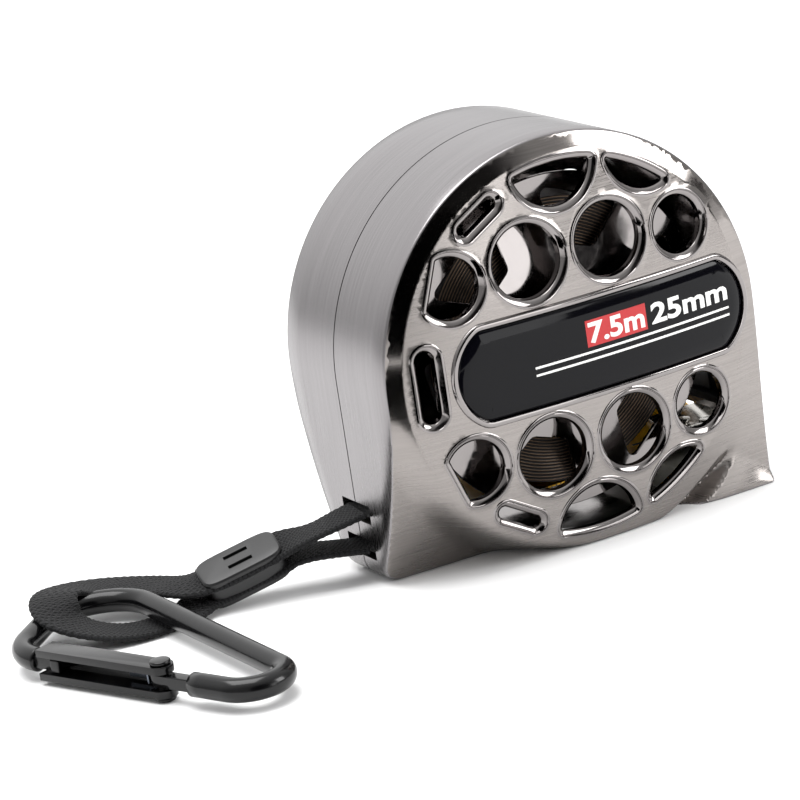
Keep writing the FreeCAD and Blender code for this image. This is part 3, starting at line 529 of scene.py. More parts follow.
strapRoute = [
    (-39.8, 0, 13.2), (-44.5, 0.5, 12.3), (-49.5, 2.4, 10.7), sliderMouth(1, 1), sliderMouth(-1, 1),
    (-72.5, 12.3, 5.2), (-75.5, 18.5, 4.8), (-81.5, 24.3, 5.0), (-87.5, 25.6, 5.9), (-92.3, 22.9, 7.3),
    (-95.2, 18.0, 7.4), (-95.7, 13.8, 5.7), (-93.2, 10.6, 3.7), (-88.5, 8.3, 1.9), (-83.5, 7.3, 1.0),
    (-78.2, 7.2, 0.79), (-73.0, 7.9, 1.2), sliderMouth(-1, -1), sliderMouth(1, -1), (-49.5, 3.0, 7.3),
    (-44.5, 0.8, 7.0), (-39.8, 0, 6.3)]
turnRoute = [(-39.4, 0, 13.2), (-37.0, 0, 13.2), (-33.4, 0, 13.0), (-32.8, 0, 9.75), (-33.4, 0, 6.5),
             (-37.0, 0, 6.3), (-39.4, 0, 6.3)]


def smoothLine(route, steps):
    # the route's NURBS line, read back as points in mm
    data = bpy.data.curves.new("route", "CURVE")
    data.dimensions = "3D"
    spline = data.splines.new("NURBS")
    spline.points.add(len(route) - 1)
    for point, place in zip(spline.points, route):
        point.co = (*[float(c) for c in place], 1)
    spline.order_u = 3
    spline.use_endpoint_u = True
    spline.resolution_u = steps
    holder = placed("route", data)
    line = evaluatedMesh(holder)
    points = np.array([v.co for v in line.vertices])
    bpy.data.objects.remove(holder)
    bpy.data.meshes.remove(line)
    return points


def ribbon(name, line, facts, level=None):
    # a rounded flat section carried along the line, its width level with the floor and turned to the
    # slider near it, with woven ribs and thicker selvages
    tangent = unit(np.gradient(line, axis=0))
    across = unit(np.cross([0, 0, 1], tangent) if level is None else np.tile(np.array(level, float),
                                                                             (len(line), 1)))
    nearSlider = np.exp(-(np.linalg.norm(line - sliderCentre, axis=1) / 11) ** 4)[:, None]
    lean = np.where((across @ sliderAcross)[:, None] > 0, sliderAcross, -sliderAcross)
    across = across * (1 - nearSlider) + lean * nearSlider
    across = unit(across - tangent * np.sum(across * tangent, axis=1, keepdims=True))
    normal = np.cross(tangent, across)
    travelled = np.concatenate([[0], np.cumsum(np.linalg.norm(np.diff(line, axis=0), axis=1))])
    half, thick = facts["width"] / 2, facts["thickness"] / 2
    u, v = superEllipse(28, 0.42, 0.75)
    weave = 2 * np.pi * travelled / facts["ribPitch"]
    rib = 1 + facts["rib"] * np.sin(weave)[:, None]
    selvage = 1 + facts["selvage"] * np.clip((np.abs(u) - 0.75) / 0.2, 0, 1)
    edge = 1 + facts["waver"] * np.sin(weave + 1.2)[:, None]
    points = (line[:, None, :] + across[:, None, :] * (half * u * edge)[:, :, None]
              + normal[:, None, :] * (thick * v * selvage * rib)[:, :, None])
    rows, count = points.shape[:2]
    mesh = bpy.data.meshes.new(name)
    mesh.from_pydata((points.reshape(-1, 3) * mm).tolist(), [], loftFaces(rows, count))
    loops = np.empty(len(mesh.loops), np.int32)
    mesh.loops.foreach_get("vertex_index", loops)
    under = 20 * (v[loops % count] < 0)  # moves the lower side's weave away from the upper side's
    uvs = np.stack([travelled[loops // count], half * u[loops % count] + under], axis=1)
    mesh.uv_layers.new(name="UVMap").data.foreach_set("uv", uvs.astype(np.float32).ravel())
    mesh.materials.append(webbing)
    finishMesh(mesh, 60)
    return placed(name, mesh)


def sliderBlock(facts):
    # a rounded block, a superellipse section along its thickness
    levels = [-1, -0.97, -0.86, -0.5, 0, 0.5, 0.86, 0.97, 1.0]
    insets = [0.75, 0.35, 0.06, 0, 0, 0, 0.06, 0.35, 0.75]
    u, v = superEllipse(72, facts["corner"])
    rings = [sliderCentre + np.outer((facts["length"] / 2 - inset) * u, sliderAlong)
             + np.outer((facts["width"] / 2 - inset) * v, sliderAcross)
             + sliderUp * level * facts["height"] / 2 for level, inset in zip(levels, insets)]
    return makePiece("sliderBlock", np.concatenate(rings), loftFaces(len(levels), len(u)), [satinBlack],
                     body=None)


def sliderSlots(facts):
    # the two legs' slots, and two shallow slots in the upper face
    for side in (-1, 1):
        for centre, halves in (
                (sliderCentre + sliderUp * side * facts["slotOffset"], facts["legSlot"]),
                (sliderCentre + sliderUp * facts["height"] / 2 + sliderAcross * side * facts["topSlotAt"],
                 facts["topSlot"])):
            axes = zip((sliderAlong, sliderAcross, sliderUp), halves)
            yield boxShape(centre, [axis * half for axis, half in axes])


strapLine = smoothLine(strapRoute, strapFacts["steps"])
strap = ribbon("strapWebbing", strapLine, strapFacts)
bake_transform(strap)
standFor(strap, None, "wrist_strap", "strap_webbing")
standFor(ribbon("strapTurn", smoothLine(turnRoute, 10), strapFacts, (0, 1, 0)), "case", "strap_turn",
         "strap_webbing")
slider = sliderBlock(sliderFacts)
cutAway(slider, sliderSlots(sliderFacts))
standFor(slider, "slider", "cord_slider", "slider_plastic")
print("slider ready")

# case

caseFacts = {"radius": 39.8, "half": 18.8, "crown": 3.84, "domeDrop": 2.64, "domeRadius": 36.0,
             "ring": 36.4, "ringRows": (36.05, 36.4, 36.8, 37.6, 38.4, 39.1), "wall": 2.2, "rimBevel": 0.35,
             "cornerArcs": ((-35.8, -34.0, 4.0, 180, 270), (39.0, -37.2, 0.8, 270, 360)), "groove": 0.5,
             "grooveHalf": 0.16, "partingHalf": 0.02, "badgeSeat": 0.9, "spacing": 1.1,
             "valleyGrid": ((8, -37.9), (30, -24), 0.42)}
bossFacts = {"places": ((-34.4, 21), (31, 4.1), (34.9, 38)), "seats": (12, 15, 16), "radius": 2.4,
             "low": 0.05, "hubRadius": 6, "hubLow": 16.6, "skin": 0.7, "head": 2.1, "shank": 1.15, "pilot": 0.9}
# centre and half sizes of what is cut through the joined walls
openings = {"upperStrapSlot": ((-38.7, 0, 13.2), (2.2, 5.2, 1.8)),
            "lowerStrapSlot": ((-38.7, 0, 6.3), (2.2, 5.2, 1.8)),
            "mouth": ((38.7, 0, 9.35), (2.4, 13.2, 3.05)), "lockStem": ((38.7, 0, 25.7), (2.4, 3.3, 6.6))}
heelFacts = {"depth": 12.6, "reach": 38, "power": 1.75, "taper": 0.08, "over": 28, "from": 36.8, "run": 5.2,
             "side": 13, "ringSide": 8, "ringDrop": 12}
cornerFacts = {"recess": 1.0, "lowRecess": 0.7, "lowRun": 30, "slope": 0.335, "facetHeight": 11,
               "facetSlope": 0.76, "facetFrom": 28, "facetLeast": 0.8, "base": 38, "blendFrom": 19,
               "blendRun": 10, "facetLine": ((28, -27), (40.2, -36.3)), "arc": (-76, -35)}
valleyFacts = {"depth": 4.8, "rise": 3.2, "fallFrom": 2.9, "fall": 2.4, "below": -25.5, "belowRun": 12.5,
               "ahead": 8, "aheadRun": 6}
# mouldings of the windows: offset from the outline and depth below the face
lipProfile = [(0.5, 0.0), (0.34, -0.10), (0.16, -0.12), (0.05, -0.02), (0.0, 0.16), (-0.10, 0.20),
              (-0.20, 0.14), (-0.55, 0.30), (-0.92, 0.56), (-1.06, 0.72), (-1.10, 0.95), (-1.10, 2.2)]
frameProfile = [(1.25, 0.0), (1.18, -0.16), (1.02, -0.42), (0.85, -0.50), (0.32, -0.50), (0.12, -0.42),
                (0.03, -0.25), (0.0, 0.0), (0.0, 0.9)]


# each outline is a list of arcs: centre x and z, radius, first and last angle in degrees


def pillArcs(x, z, radius, half, lean):
    turn = math.radians(lean)
    dx, dz = half * math.cos(turn), half * math.sin(turn)
    return [(x + dx, z + dz, radius, lean - 90, lean + 90), (x - dx, z - dz, radius, lean + 90, lean + 270)]


def flatCircleArcs(x, z, radius, flat, direction, rounding):
    # a circle with one side cut straight, its two corners rounded
    turn = math.radians(direction)
    away = flat - rounding - (x * math.cos(turn) + z * math.sin(turn))
    spread = math.degrees(math.acos(away / (radius - rounding)))
    corners = []
    for side in (-1, 1):
        angle = math.radians(direction + side * spread)
        corners.append((x + (radius - rounding) * math.cos(angle),
                        z + (radius - rounding) * math.sin(angle)))
    return [(*corners[0], rounding, direction - spread, direction),
            (*corners[1], rounding, direction, direction + spread),
            (x, z, radius, direction + spread, direction - spread + 360)]


def lensArcs(rim, distance, radius, direction, rounding):
    # what a circle about the reel axis and a circle on its edge share, its two corners rounded
    big, small = rim - rounding, radius - rounding
    reach = (big * big - small * small + distance * distance) / (2 * distance)
    height = math.sqrt(big * big - reach * reach)
    spread = math.degrees(math.atan2(height, reach))
    bend = math.degrees(math.atan2(height, reach - distance))
    cosine, sine = math.cos(math.radians(direction)), math.sin(math.radians(direction))
    high = (reach * cosine - height * sine, reach * sine + height * cosine)
    low = (reach * cosine + height * sine, reach * sine - height * cosine)
    return [(0, 0, rim, direction - spread, direction + spread),
            (*high, rounding, direction + spread, direction + bend),
            (distance * cosine, distance * sine, radius, direction + bend, direction + 360 - bend),
            (*low, rounding, direction + 360 - bend, direction + 360 - spread)]


class Outline:
    # a closed convex outline: arcs joined by straight runs; at(d) is each point pushed out by d
    def __init__(self, arcs, step=0.55):
        centres, radii, angles = [], [], []
        for number, (x, z, radius, start, end) in enumerate(arcs):
            count = max(3, int(math.radians(end - start) * (radius + 0.5) / step) + 1)
            ways = np.radians(np.linspace(start, end, count))
            whole = end - start > 359
            ways = ways[:-1] if whole else ways
            centres.append(np.tile([x, z], (len(ways), 1)))
            radii.append(np.full(len(ways), radius))
            angles.append(ways)
            if not whole:
                nextX, nextZ, nextRadius = arcs[(number + 1) % len(arcs)][:3]
                way = math.radians(end)
                outward = np.array([math.cos(way), math.sin(way)])
                first = np.array([x, z]) + radius * outward
                second = np.array([nextX, nextZ]) + nextRadius * outward
                extra = int(np.linalg.norm(second - first) / (2 * step))
                share = np.linspace(0, 1, extra + 2)[1:-1, None]
                centres.append(first + (second - first) * share - radius * outward)
                radii.append(np.full(extra, radius))
                angles.append(np.full(extra, way))
        self.centres, self.radii, self.angles = map(np.concatenate, (centres, radii, angles))
        points = self.at(0)
        kept = np.linalg.norm(points - np.roll(points, 1, axis=0), axis=1) >= 1e-4
        self.centres, self.radii, self.angles = self.centres[kept], self.radii[kept], self.angles[kept]

    def at(self, offset):
        way = np.stack([np.cos(self.angles), np.sin(self.angles)], axis=1)
        return self.centres + (self.radii + offset)[:, None] * way


def windowOutlines():
    # seven windows above the badge, the same below it, and the upright pill
    upper = [[(-8.66, 18.37, 8, 0, 360)], [(8.66, 18.37, 8, 0, 360)], [(24.37, 17.1, 6.48, 0, 360)],
             flatCircleArcs(-24.5, 17.2, 6.8, 33.6, 159.1, 1.4), pillArcs(-16.75, 28.5, 2.23, 3.5, 30.4),
             lensArcs(35.7, 35.1, 9.4, 90.4, 1.5), lensArcs(35.8, 39.0, 9.4, 59.8, 1.4)]
    lower = [[(x, -z, radius, -end, -start) for x, z, radius, start, end in reversed(arcs)]
             for arcs in upper]
    return [Outline(arcs) for arcs in upper + lower + [pillArcs(-31.5, 0.4, 2.9, 5.0, 90)]]


def badgeArcs():
    # level top and bottom, bulged ends, rounded corners
    half, radius, back, front, rounding = 8.6, 9.7, -16.5, 26.8, 2.4
    tall = half - rounding
    lift = math.degrees(math.asin(tall / (radius - rounding)))
    run = (radius - rounding) * math.cos(math.radians(lift))
    return [(front, 0, radius, -lift, lift), (front + run, tall, rounding, lift, 90),
            (back - run, tall, rounding, 90, 180 - lift), (back, 0, radius, 180 - lift, 180 + lift),
            (back - run, -tall, rounding, 180 + lift, 270), (front + run, -tall, rounding, 270, 360 - lift)]


def smoothStep(value):
    value = np.clip(value, 0, 1)
    return value * value * (3 - 2 * value)


def domeDepth(x, z):
    # crown minus a parabola: how far the dome stands before the sharp edge's plane
    return caseFacts["crown"] - caseFacts["domeDrop"] * (x * x + z * z) / caseFacts["domeRadius"] ** 2


def faceY(x, z):
    # the front face: dome, then a steeper ring, then the hollow heel and the facetted front corner
    case, hollow, foot, dip = caseFacts, heelFacts, cornerFacts, valleyFacts
    radius = np.hypot(x, z)
    edge = case["crown"] - case["domeDrop"] * (case["ring"] / case["domeRadius"]) ** 2
    ring = edge * (case["radius"] - radius) / (case["radius"] - case["ring"])
    stand = np.where(radius < case["ring"], domeDepth(x, z), np.maximum(ring, 0))
    outside = smoothStep((radius - hollow["from"]) / hollow["run"])
    heel = (hollow["depth"] * (np.clip(-z, 0, None) / hollow["reach"]) ** hollow["power"]
            * (1 - hollow["taper"] * (x + case["radius"]) / hollow["over"]))
    heel = heel * outside * smoothStep(-x / hollow["side"])
    stand = stand * (1 - outside * smoothStep(-x / hollow["ringSide"])
                     * smoothStep(-z / hollow["ringDrop"]))
    away = np.clip(radius - case["radius"], 0, None)
    depth = foot["recess"] + foot["lowRecess"] * smoothStep(-z / foot["lowRun"])
    corner = depth * (1 - np.exp(-foot["slope"] * away / depth))  # the ring's slope carried on, flattening
    creaseHeight = np.maximum(foot["facetHeight"] - foot["facetSlope"] * (x - foot["facetFrom"]),
                              foot["facetLeast"])
    facet = np.clip((z + foot["base"]) / creaseHeight, 0, 1)
    blend = smoothStep((x - foot["blendFrom"]) / foot["blendRun"])
    corner = corner * (1 - blend + blend * facet) * (x > 0) * (z < 0)
    valley = np.minimum(smoothStep(away / dip["rise"]),
                        1 - smoothStep((away - dip["fallFrom"]) / dip["fall"]))
    valley = (dip["depth"] * valley * smoothStep((dip["below"] - z) / dip["belowRun"])
              * smoothStep((x - dip["ahead"]) / dip["aheadRun"]))
    return -(case["half"] + stand) + heel + np.maximum(corner, valley)


def inside(points, loop, holes=()):
    # even-odd test of many points against one closed loop, and clear of the holes
    x, y = points[:, 0][:, None], points[:, 1][:, None]
    a, b = loop, np.roll(loop, -1, axis=0)
    spans = (a[:, 1] > y) != (b[:, 1] > y)
    slope = (b[:, 0] - a[:, 0]) / np.where(b[:, 1] == a[:, 1], 1e-9, b[:, 1] - a[:, 1])
    found = (np.sum(spans & (x < a[:, 0] + (y - a[:, 1]) * slope), axis=1) % 2) == 1
    for hole in holes:
        found &= ~inside(points, hole)
    return found


def nearest(points, others):
    best = np.full(len(points), 1e9)
    for chunk in np.array_split(others, max(1, len(others) // 400)):
        best = np.minimum(best, np.min(np.hypot(points[:, None, 0] - chunk[None, :, 0],
                                                points[:, None, 1] - chunk[None, :, 1]), axis=1))
    return best


def hexGrid(low, high, spacing):
    rows = np.arange(low[1], high[1], spacing * 0.866)
    columns = np.arange(low[0], high[0], spacing)
    return np.array([(x + (spacing / 2 if number % 2 else 0), z) for number, z in enumerate(rows)
                     for x in columns])


def fillSheet(outer, holes, spacing, creases=(), fine=None):
    # triangles between an outline and its holes, on a hexagonal grid; fine is a box of closer points
    loops = [outer] + list(holes)
    border = np.concatenate(loops)
    edges, points, start = [], [], 0
    for loop in loops:
        edges += [(start + i, start + (i + 1) % len(loop)) for i in range(len(loop))]
        points.append(loop)
        start += len(loop)
    for crease in creases:
        keep = inside(crease, outer, holes) & (nearest(crease, border) > 0.45)
        index = np.cumsum(keep) - 1 + start
        edges += [(int(index[i]), int(index[i + 1])) for i in range(len(crease) - 1)
                  if keep[i] and keep[i + 1]]
        points.append(crease[keep])
        start += int(keep.sum())
    grid = hexGrid(outer.min(axis=0), outer.max(axis=0), spacing)
    if fine:
        low, high, step = fine
        within = (grid > np.array(low) - 0.3).all(axis=1) & (grid < np.array(high) + 0.3).all(axis=1)
        grid = np.concatenate([hexGrid(low, high, step), grid[~within]])
    known = np.concatenate(points)
    grid = grid[inside(grid, outer, holes)]
    grid = grid[nearest(grid, known) > (0.3 if fine else spacing * 0.55)]
    found = delaunay_2d_cdt([Vector(p) for p in np.concatenate([known, grid])], edges, [], 0, 1e-7)
    flat = np.array([tuple(v) for v in found[0]])
    faces = np.array([f for f in found[2] if len(f) == 3])
    return flat, faces[inside(flat[faces].mean(axis=1), outer, holes)].tolist()


def lifted(flat, depth):
    # points of the face's plan, at a depth below the face
    return np.column_stack([flat[:, 0], faceY(flat[:, 0], flat[:, 1]) + depth, flat[:, 1] + reelAxis])


def domed(flat, depth):
    # points of the face's plan, at a depth below the dome, which the badge and its frame follow
    return np.column_stack([flat[:, 0], -(caseFacts["half"] + domeDepth(flat[:, 0], flat[:, 1])) + depth,
                            flat[:, 1] + reelAxis])


def bossShapes(facts, rear):
    # screw bosses, counterbored in the rear shell and drilled in the front one, and the spindle's hub
    turns = np.radians(np.arange(0, 360, 30))
    for place, (x, z) in enumerate(facts["places"] + ((0, reelAxis),)):
        hub = place == len(facts["places"])
        radius, low = (facts["hubRadius"], facts["hubLow"]) if hub else (facts["radius"], facts["low"])
        heights = -faceY(x + radius * np.cos(turns), z - reelAxis + radius * np.sin(turns))
        top = float(np.min(heights)) - facts["skin"]
        profile = [(radius, low), (radius, top)]
        if not hub:
            head, shank, seat = facts["head"], facts["shank"], facts["seats"][place]
            profile += ([(head, top), (head, seat), (shank, seat), (shank, low)] if rear
                        else [(facts["pilot"], top), (facts["pilot"], low)])
        yield turned(profile, (x, 0, z), (0, -1, 0), 48 if hub else 32, wrap=not hub)


def shellShape(rear):
    # one shell, drawn as the front one: face, windows' mouldings, badge frame and seat, wall, parting
    # edge, inside and bosses; each part carries its material's number
    case = caseFacts
    rim = Outline([(0, 0, case["radius"], 0, 180), *case["cornerArcs"]], step=0.8)
    windows, badge = windowOutlines(), Outline(badgeArcs())
    around = np.radians(np.arange(-180, 181, 1.5))
    circle = np.stack([np.cos(around), np.sin(around)], axis=1)
    creases = [radius * circle for radius in case["ringRows"]]
    lower = np.radians(np.arange(*cornerFacts["arc"], 0.8))
    creases.append(case["radius"] * np.stack([np.cos(lower), np.sin(lower)], axis=1))
    share = np.linspace(0, 1, 16)[:, None]
    facetStart, facetEnd = map(np.array, cornerFacts["facetLine"])
    creases.append(facetStart * (1 - share) + facetEnd * share)
    face, faceTriangles = fillSheet(
        rim.at(-case["rimBevel"]),
        [w.at(lipProfile[0][0]) for w in windows] + [badge.at(frameProfile[0][0])],
        case["spacing"], creases, case["valleyGrid"])
    parts = [(lifted(face, 0), faceTriangles, 0)]
    parts += [(*strip([lifted(w.at(offset), depth) for offset, depth in lipProfile]), 1) for w in windows]
    rings = [domed(badge.at(offset), depth) for offset, depth in frameProfile]
    rings[0] = lifted(badge.at(frameProfile[0][0]), frameProfile[0][1])
    seat, seatTriangles = fillSheet(badge.at(0), [], 2.5)
    parts += [(*strip(rings), 1), (domed(seat, case["badgeSeat"]), seatTriangles, 3)]

    edges = [lifted(rim.at(-case["rimBevel"]), 0), lifted(rim.at(-0.12), 0.10), lifted(rim.at(0), 0.34)]
    seam = []
    for offset, y in ((0, -case["grooveHalf"]), (-case["groove"], -case["grooveHalf"]),
                      (-case["groove"], -case["partingHalf"]), (-case["wall"], -case["partingHalf"])):
        plan = rim.at(offset)
        seam.append(np.column_stack([plan[:, 0], np.full(len(plan), y), plan[:, 1] + reelAxis]))
    walls = [edges[-1] * (1 - s) + seam[0] * s for s in (0.0, 0.25, 0.5, 0.75)]
    innerPlan = rim.at(-case["wall"])
    ceiling, ceilingTriangles = fillSheet(innerPlan, [w.at(lipProfile[-1][0]) for w in windows], 1.8)
    parts += [(*strip(edges[:-1] + walls + seam), 2),
              (*strip([seam[-1], lifted(innerPlan, case["wall"])]), 3),
              (lifted(ceiling, case["wall"]), ceilingTriangles, 3)]
    parts += [(*boss, 3) for boss in bossShapes(bossFacts, rear)]
    kinds = [kind for points, faces, kind in parts for corners in faces]
    return *joined([(points, faces) for points, faces, kind in parts]), kinds


mirror = np.array([1, -1, 1])
shells = []
for name, rear, node in (("frontCase", False, "front_shell"), ("rearCase", True, "rear_shell")):
    points, faces, kinds = shellShape(rear)
    shells.append(makePiece(name, points * mirror if rear else points, faces,
                            [faceHair, polished, wallHair, polished], kinds, sharpAngle=40, node=node,
                            slotName="case_plating"))
print("case", len(shells[0].data.polygons), "faces")
wallCuts = [boxShape(centre, np.diag(halves)) for centre, halves in openings.values()]
headHoles = [turned([(bossFacts["head"], seat), (bossFacts["head"], 26)], (x, 0, z), (0, 1, 0), 40)
             for (x, z), seat in zip(bossFacts["places"][:2], bossFacts["seats"])]
cutAway(shells[0], wallCuts)
cutAway(shells[1], wallCuts + headHoles)
print("slots, mouth and screw holes cut")

# badges

badgeFacts = {"crownRise": 0.35, "edgeDepth": 0.30, "shoulder": 2.6, "ease": 0.03, "gap": 0.08}


def badgeMesh(name, mirrored, node):
    # the badge follows the dome, and its resin swells within the frame
    outline = Outline(badgeArcs(), step=0.8)
    crown = -badgeFacts["crownRise"] + badgeFacts["ease"]
    gap = -badgeFacts["gap"]
    profile = [(gap, caseFacts["badgeSeat"]), (gap, badgeFacts["edgeDepth"]), (-0.2, 0.12), (-0.55, 0.0),
               (-1.05, -0.12), (-1.8, -0.24), (-badgeFacts["shoulder"], crown)]
    parts = [strip([domed(outline.at(offset), depth) for offset, depth in profile])]
    for offset, depth in (profile[-1], profile[0]):
        flat, triangles = fillSheet(outline.at(offset), [], 1.6)
        parts.append((domed(flat, depth), triangles))
    points, faces = joined(parts)
    makePiece(name, points * mirror if mirrored else points, faces, [resin], sharpAngle=50, node=node,
              slotName="badge_print")


printFacts = {"length": "7.5m", "width": "25mm", "box": (0.5, 13.8, 0.0, 5.0), "boxMargin": 0.5,
              "letterHeight": 4.0, "letterWeight": 0.16, "lettersAt": 0.5, "widthAt": 14.9, "right": 32.8,
              "lines": ((-10.8, 32.8, -1.2), (-10.8, 32.8, -2.6)), "lineHeight": 0.42, "backShift": 10.3}


def letterShape(words, height, weight):
    # letters as a thin closed solid, lying in x and y
    data = bpy.data.curves.new("letters", "FONT")
    data.body, data.size, data.offset, data.extrude = words, height * 1.38, weight, 0.012
    data.resolution_u = 4
    holder = placed("letters", data)
    flat = evaluatedMesh(holder)
    points = np.array([tuple(v.co) for v in flat.vertices])
    faces = [list(f.vertices) for f in flat.polygons]
    bpy.data.objects.remove(holder)
    bpy.data.meshes.remove(flat)
    return points, faces


def printedSlab(left, right, low, high):
    # a thin bar along x, in short steps so that it follows the resin's curve
    x = np.linspace(left, right, max(2, int((right - left) / 0.9)))
    z = np.linspace(low, high, max(2, int((high - low) / 0.9)))
    section = np.concatenate([np.column_stack([z, np.full(len(z), 0.01)]),
                              np.column_stack([z[::-1], np.full(len(z), -0.01)])])
    points = np.concatenate([np.column_stack([np.full(len(section), value), section]) for value in x])
    return points, loftFaces(len(x), len(section))


def onBadge(points, facing):
    # lays print on the resin's crown; facing -1 reads from the front, 1 from the back
    x = points[:, 0] if facing < 0 else printFacts["backShift"] - points[:, 0]
    stand = caseFacts["half"] + domeDepth(x, points[:, 1]) + badgeFacts["crownRise"] + points[:, 2]
    return np.column_stack([x, facing * stand, points[:, 1] + reelAxis])


def badgePrint(name, facing, facts):
    boxLeft, boxRight = facts["box"][:2]
    parts = [(*printedSlab(*facts["box"]), 1)]
    parts += [(*printedSlab(left, right, z, z + facts["lineHeight"]), 0)
              for left, right, z in facts["lines"]]
    tall = facts["letterHeight"]
    for words, left, right, lift in (
            (facts["length"], boxLeft + facts["boxMargin"], boxRight - facts["boxMargin"], 0.025),
            (facts["width"], facts["widthAt"], facts["right"], 0.0)):
        points, faces = letterShape(words, tall, facts["letterWeight"])
        low, high = points.min(axis=0), points.max(axis=0)
        scale = [(right - left) / (high[0] - low[0]), tall / (high[1] - low[1]), 1]
        parts.append(((points - [low[0], low[1], 0]) * scale + [left, facts["lettersAt"], lift], faces, 0))
    kinds = [kind for points, faces, kind in parts for corners in faces]
    laid = [(onBadge(points, facing), faces) for points, faces, kind in parts]
    makePiece(name, *joined(laid), [whiteInk, redInk], kinds, slotName="badge_print")


badgeMesh("frontBadge", False, "front_badge")
badgeMesh("rearBadge", True, "rear_badge")
badgePrint("frontPrint", -1, printFacts)
badgePrint("rearPrint", 1, printFacts)
print("badges ready")

# carabiner

ringFacts = {"wire": 2.2, "height": 3.85, "small": 6.0, "large": 10.5, "nose": 10.0,
             "narrowEnd": (-83.3, -38.3), "spineEnd": (-89.4, 11.4), "noseEnd": (-96.3, 5.0),
             "rodEnd": 37.0, "chamfer": 0.4, "endScale": 0.8,
             "flats": (((-1.2, -1.25, -1.2), (4.6, 1.25, 1.2)), ((4.2, -1.9, -1.2), (6.4, 1.25, 1.2)),
                       ((28, -1.25, -1.2), (38.2, 1.25, 1.2)))}


def outerTangent(first, firstRadius, second, secondRadius):
    # the straight run that touches two circles on their outer side
    length = np.linalg.norm(second - first)
    way = (second - first) / length
    lean = (firstRadius - secondRadius) / length
    outward = way * lean + np.array([way[1], -way[0]]) * math.sqrt(1 - lean * lean)
    return first + outward * firstRadius, second + outward * secondRadius


def arcPoints(centre, radius, start, end, count):
    first = math.atan2(*(start - centre)[::-1])
    last = math.atan2(*(end - centre)[::-1])
    if last < first:
        last += 2 * math.pi
    ways = np.linspace(first, last, count)
    return centre + radius * np.stack([np.cos(ways), np.sin(ways)], axis=1)


def wirePath(facts):
    # straight runs and round ends, walked anticlockwise from the gate's free end
    narrow, spine, nose = (np.array(facts[k]) for k in ("narrowEnd", "spineEnd", "noseEnd"))
    spineLow, spineHigh = outerTangent(narrow, facts["small"], spine, facts["large"])
    topRight, topLeft = outerTangent(spine, facts["large"], nose, facts["nose"])
    gateTop, gateLow = outerTangent(nose, facts["nose"], narrow, facts["small"])
    way = unit(gateLow - gateTop)
    rodEnd = gateTop + way * facts["rodEnd"]
    share = np.linspace(0, 1, 30)[:, None]
    plan = np.concatenate([
        rodEnd + (gateLow - rodEnd) * np.linspace(0, 1, 4)[:, None],
        arcPoints(narrow, facts["small"], gateLow, spineLow, 40),
        spineLow * (1 - share) + spineHigh * share,
        arcPoints(spine, facts["large"], spineHigh, topRight, 30),
        topRight * (1 - share[::4]) + topLeft * share[::4],
        arcPoints(nose, facts["nose"], topLeft, gateTop, 30)])
    plan = plan[np.concatenate([[True], np.linalg.norm(np.diff(plan, axis=0), axis=1) > 1e-3])]
    return np.column_stack([plan, np.full(len(plan), facts["height"])]), gateTop, way


def roundWire(path, facts):
    # a round section carried along the path, each end closed by a small chamfer
    tangent = unit(np.gradient(path, axis=0))
    sideways = unit(np.cross([0, 0, 1], tangent))
    around = np.linspace(0, 2 * np.pi, 40, endpoint=False)
    centres = np.concatenate([path[:1], path[:1] + tangent[0] * facts["chamfer"], path[1:-1],
                              path[-1:] - tangent[-1] * facts["chamfer"], path[-1:]])
    side = np.concatenate([sideways[:1], sideways, sideways[-1:]])
    scale = np.ones(len(centres))
    scale[[0, -1]] = facts["endScale"]
    across, upward = (facts["wire"] * wave(around)[None, :, None] * scale[:, None, None]
                      for wave in (np.cos, np.sin))
    points = centres[:, None, :] + side[:, None, :] * across + np.array([0, 0, 1]) * upward
    return points.reshape(-1, 3), loftFaces(len(centres), len(around))


wireLine, gateTop, gateWay = wirePath(ringFacts)
gateAcross = np.array([-gateWay[1], gateWay[0]])


def flatEnd(low, high):
    # a flattened length of the wire, drawn along +x and placed in the line of the gate
    points, faces = roundedBlock(low, high, 0.25, 0.22)
    plan = gateTop + np.outer(points[:, 0], gateWay) + np.outer(points[:, 1], gateAcross)
    return np.column_stack([plan, points[:, 2] + ringFacts["height"]]), faces


ring = makePiece("carabinerWire", *joined([roundWire(wireLine, ringFacts)]
                                          + [flatEnd(*flat) for flat in ringFacts["flats"]]),
                 [paint], body="strap", sharpAngle=50, node="carabiner_frame", slotName="ring_paint")
print("carabiner wire ready")


def bevelledCopy(name, node, material, body, width, slotName):
    # a merged copy of the CAD piece with its edges rounded
    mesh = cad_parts[node].data.copy()
    mesh.name = name
    work = bmesh.new()
    work.from_mesh(mesh)
    bmesh.ops.remove_doubles(work, verts=work.verts, dist=1e-6)
    bmesh.ops.dissolve_limit(work, angle_limit=math.radians(4), verts=work.verts, edges=work.edges)
    sharp = [e for e in work.edges if len(e.link_faces) == 2 and e.calc_face_angle(0) > math.radians(30)]
    bmesh.ops.bevel(work, geom=sharp, offset=width * mm, segments=3, profile=0.5, affect="EDGES",
                    clamp_overlap=True)
    bmesh.ops.triangulate(work, faces=work.faces, quad_method="BEAUTY", ngon_method="BEAUTY")
    work.to_mesh(mesh)
    work.free()
    mesh.materials.clear()
    mesh.materials.append(material)
    finishMesh(mesh, 40)
    return standFor(placed(name, mesh), body, node, slotName)


gate = bevelledCopy("carabinerGate", "carabiner_gate", paint, "gate", 0.4, "ring_paint")
rivet = bevelledCopy("gateRivet", "gate_rivet", paint, "strap", 0.3, "rivet_paint")

# reel

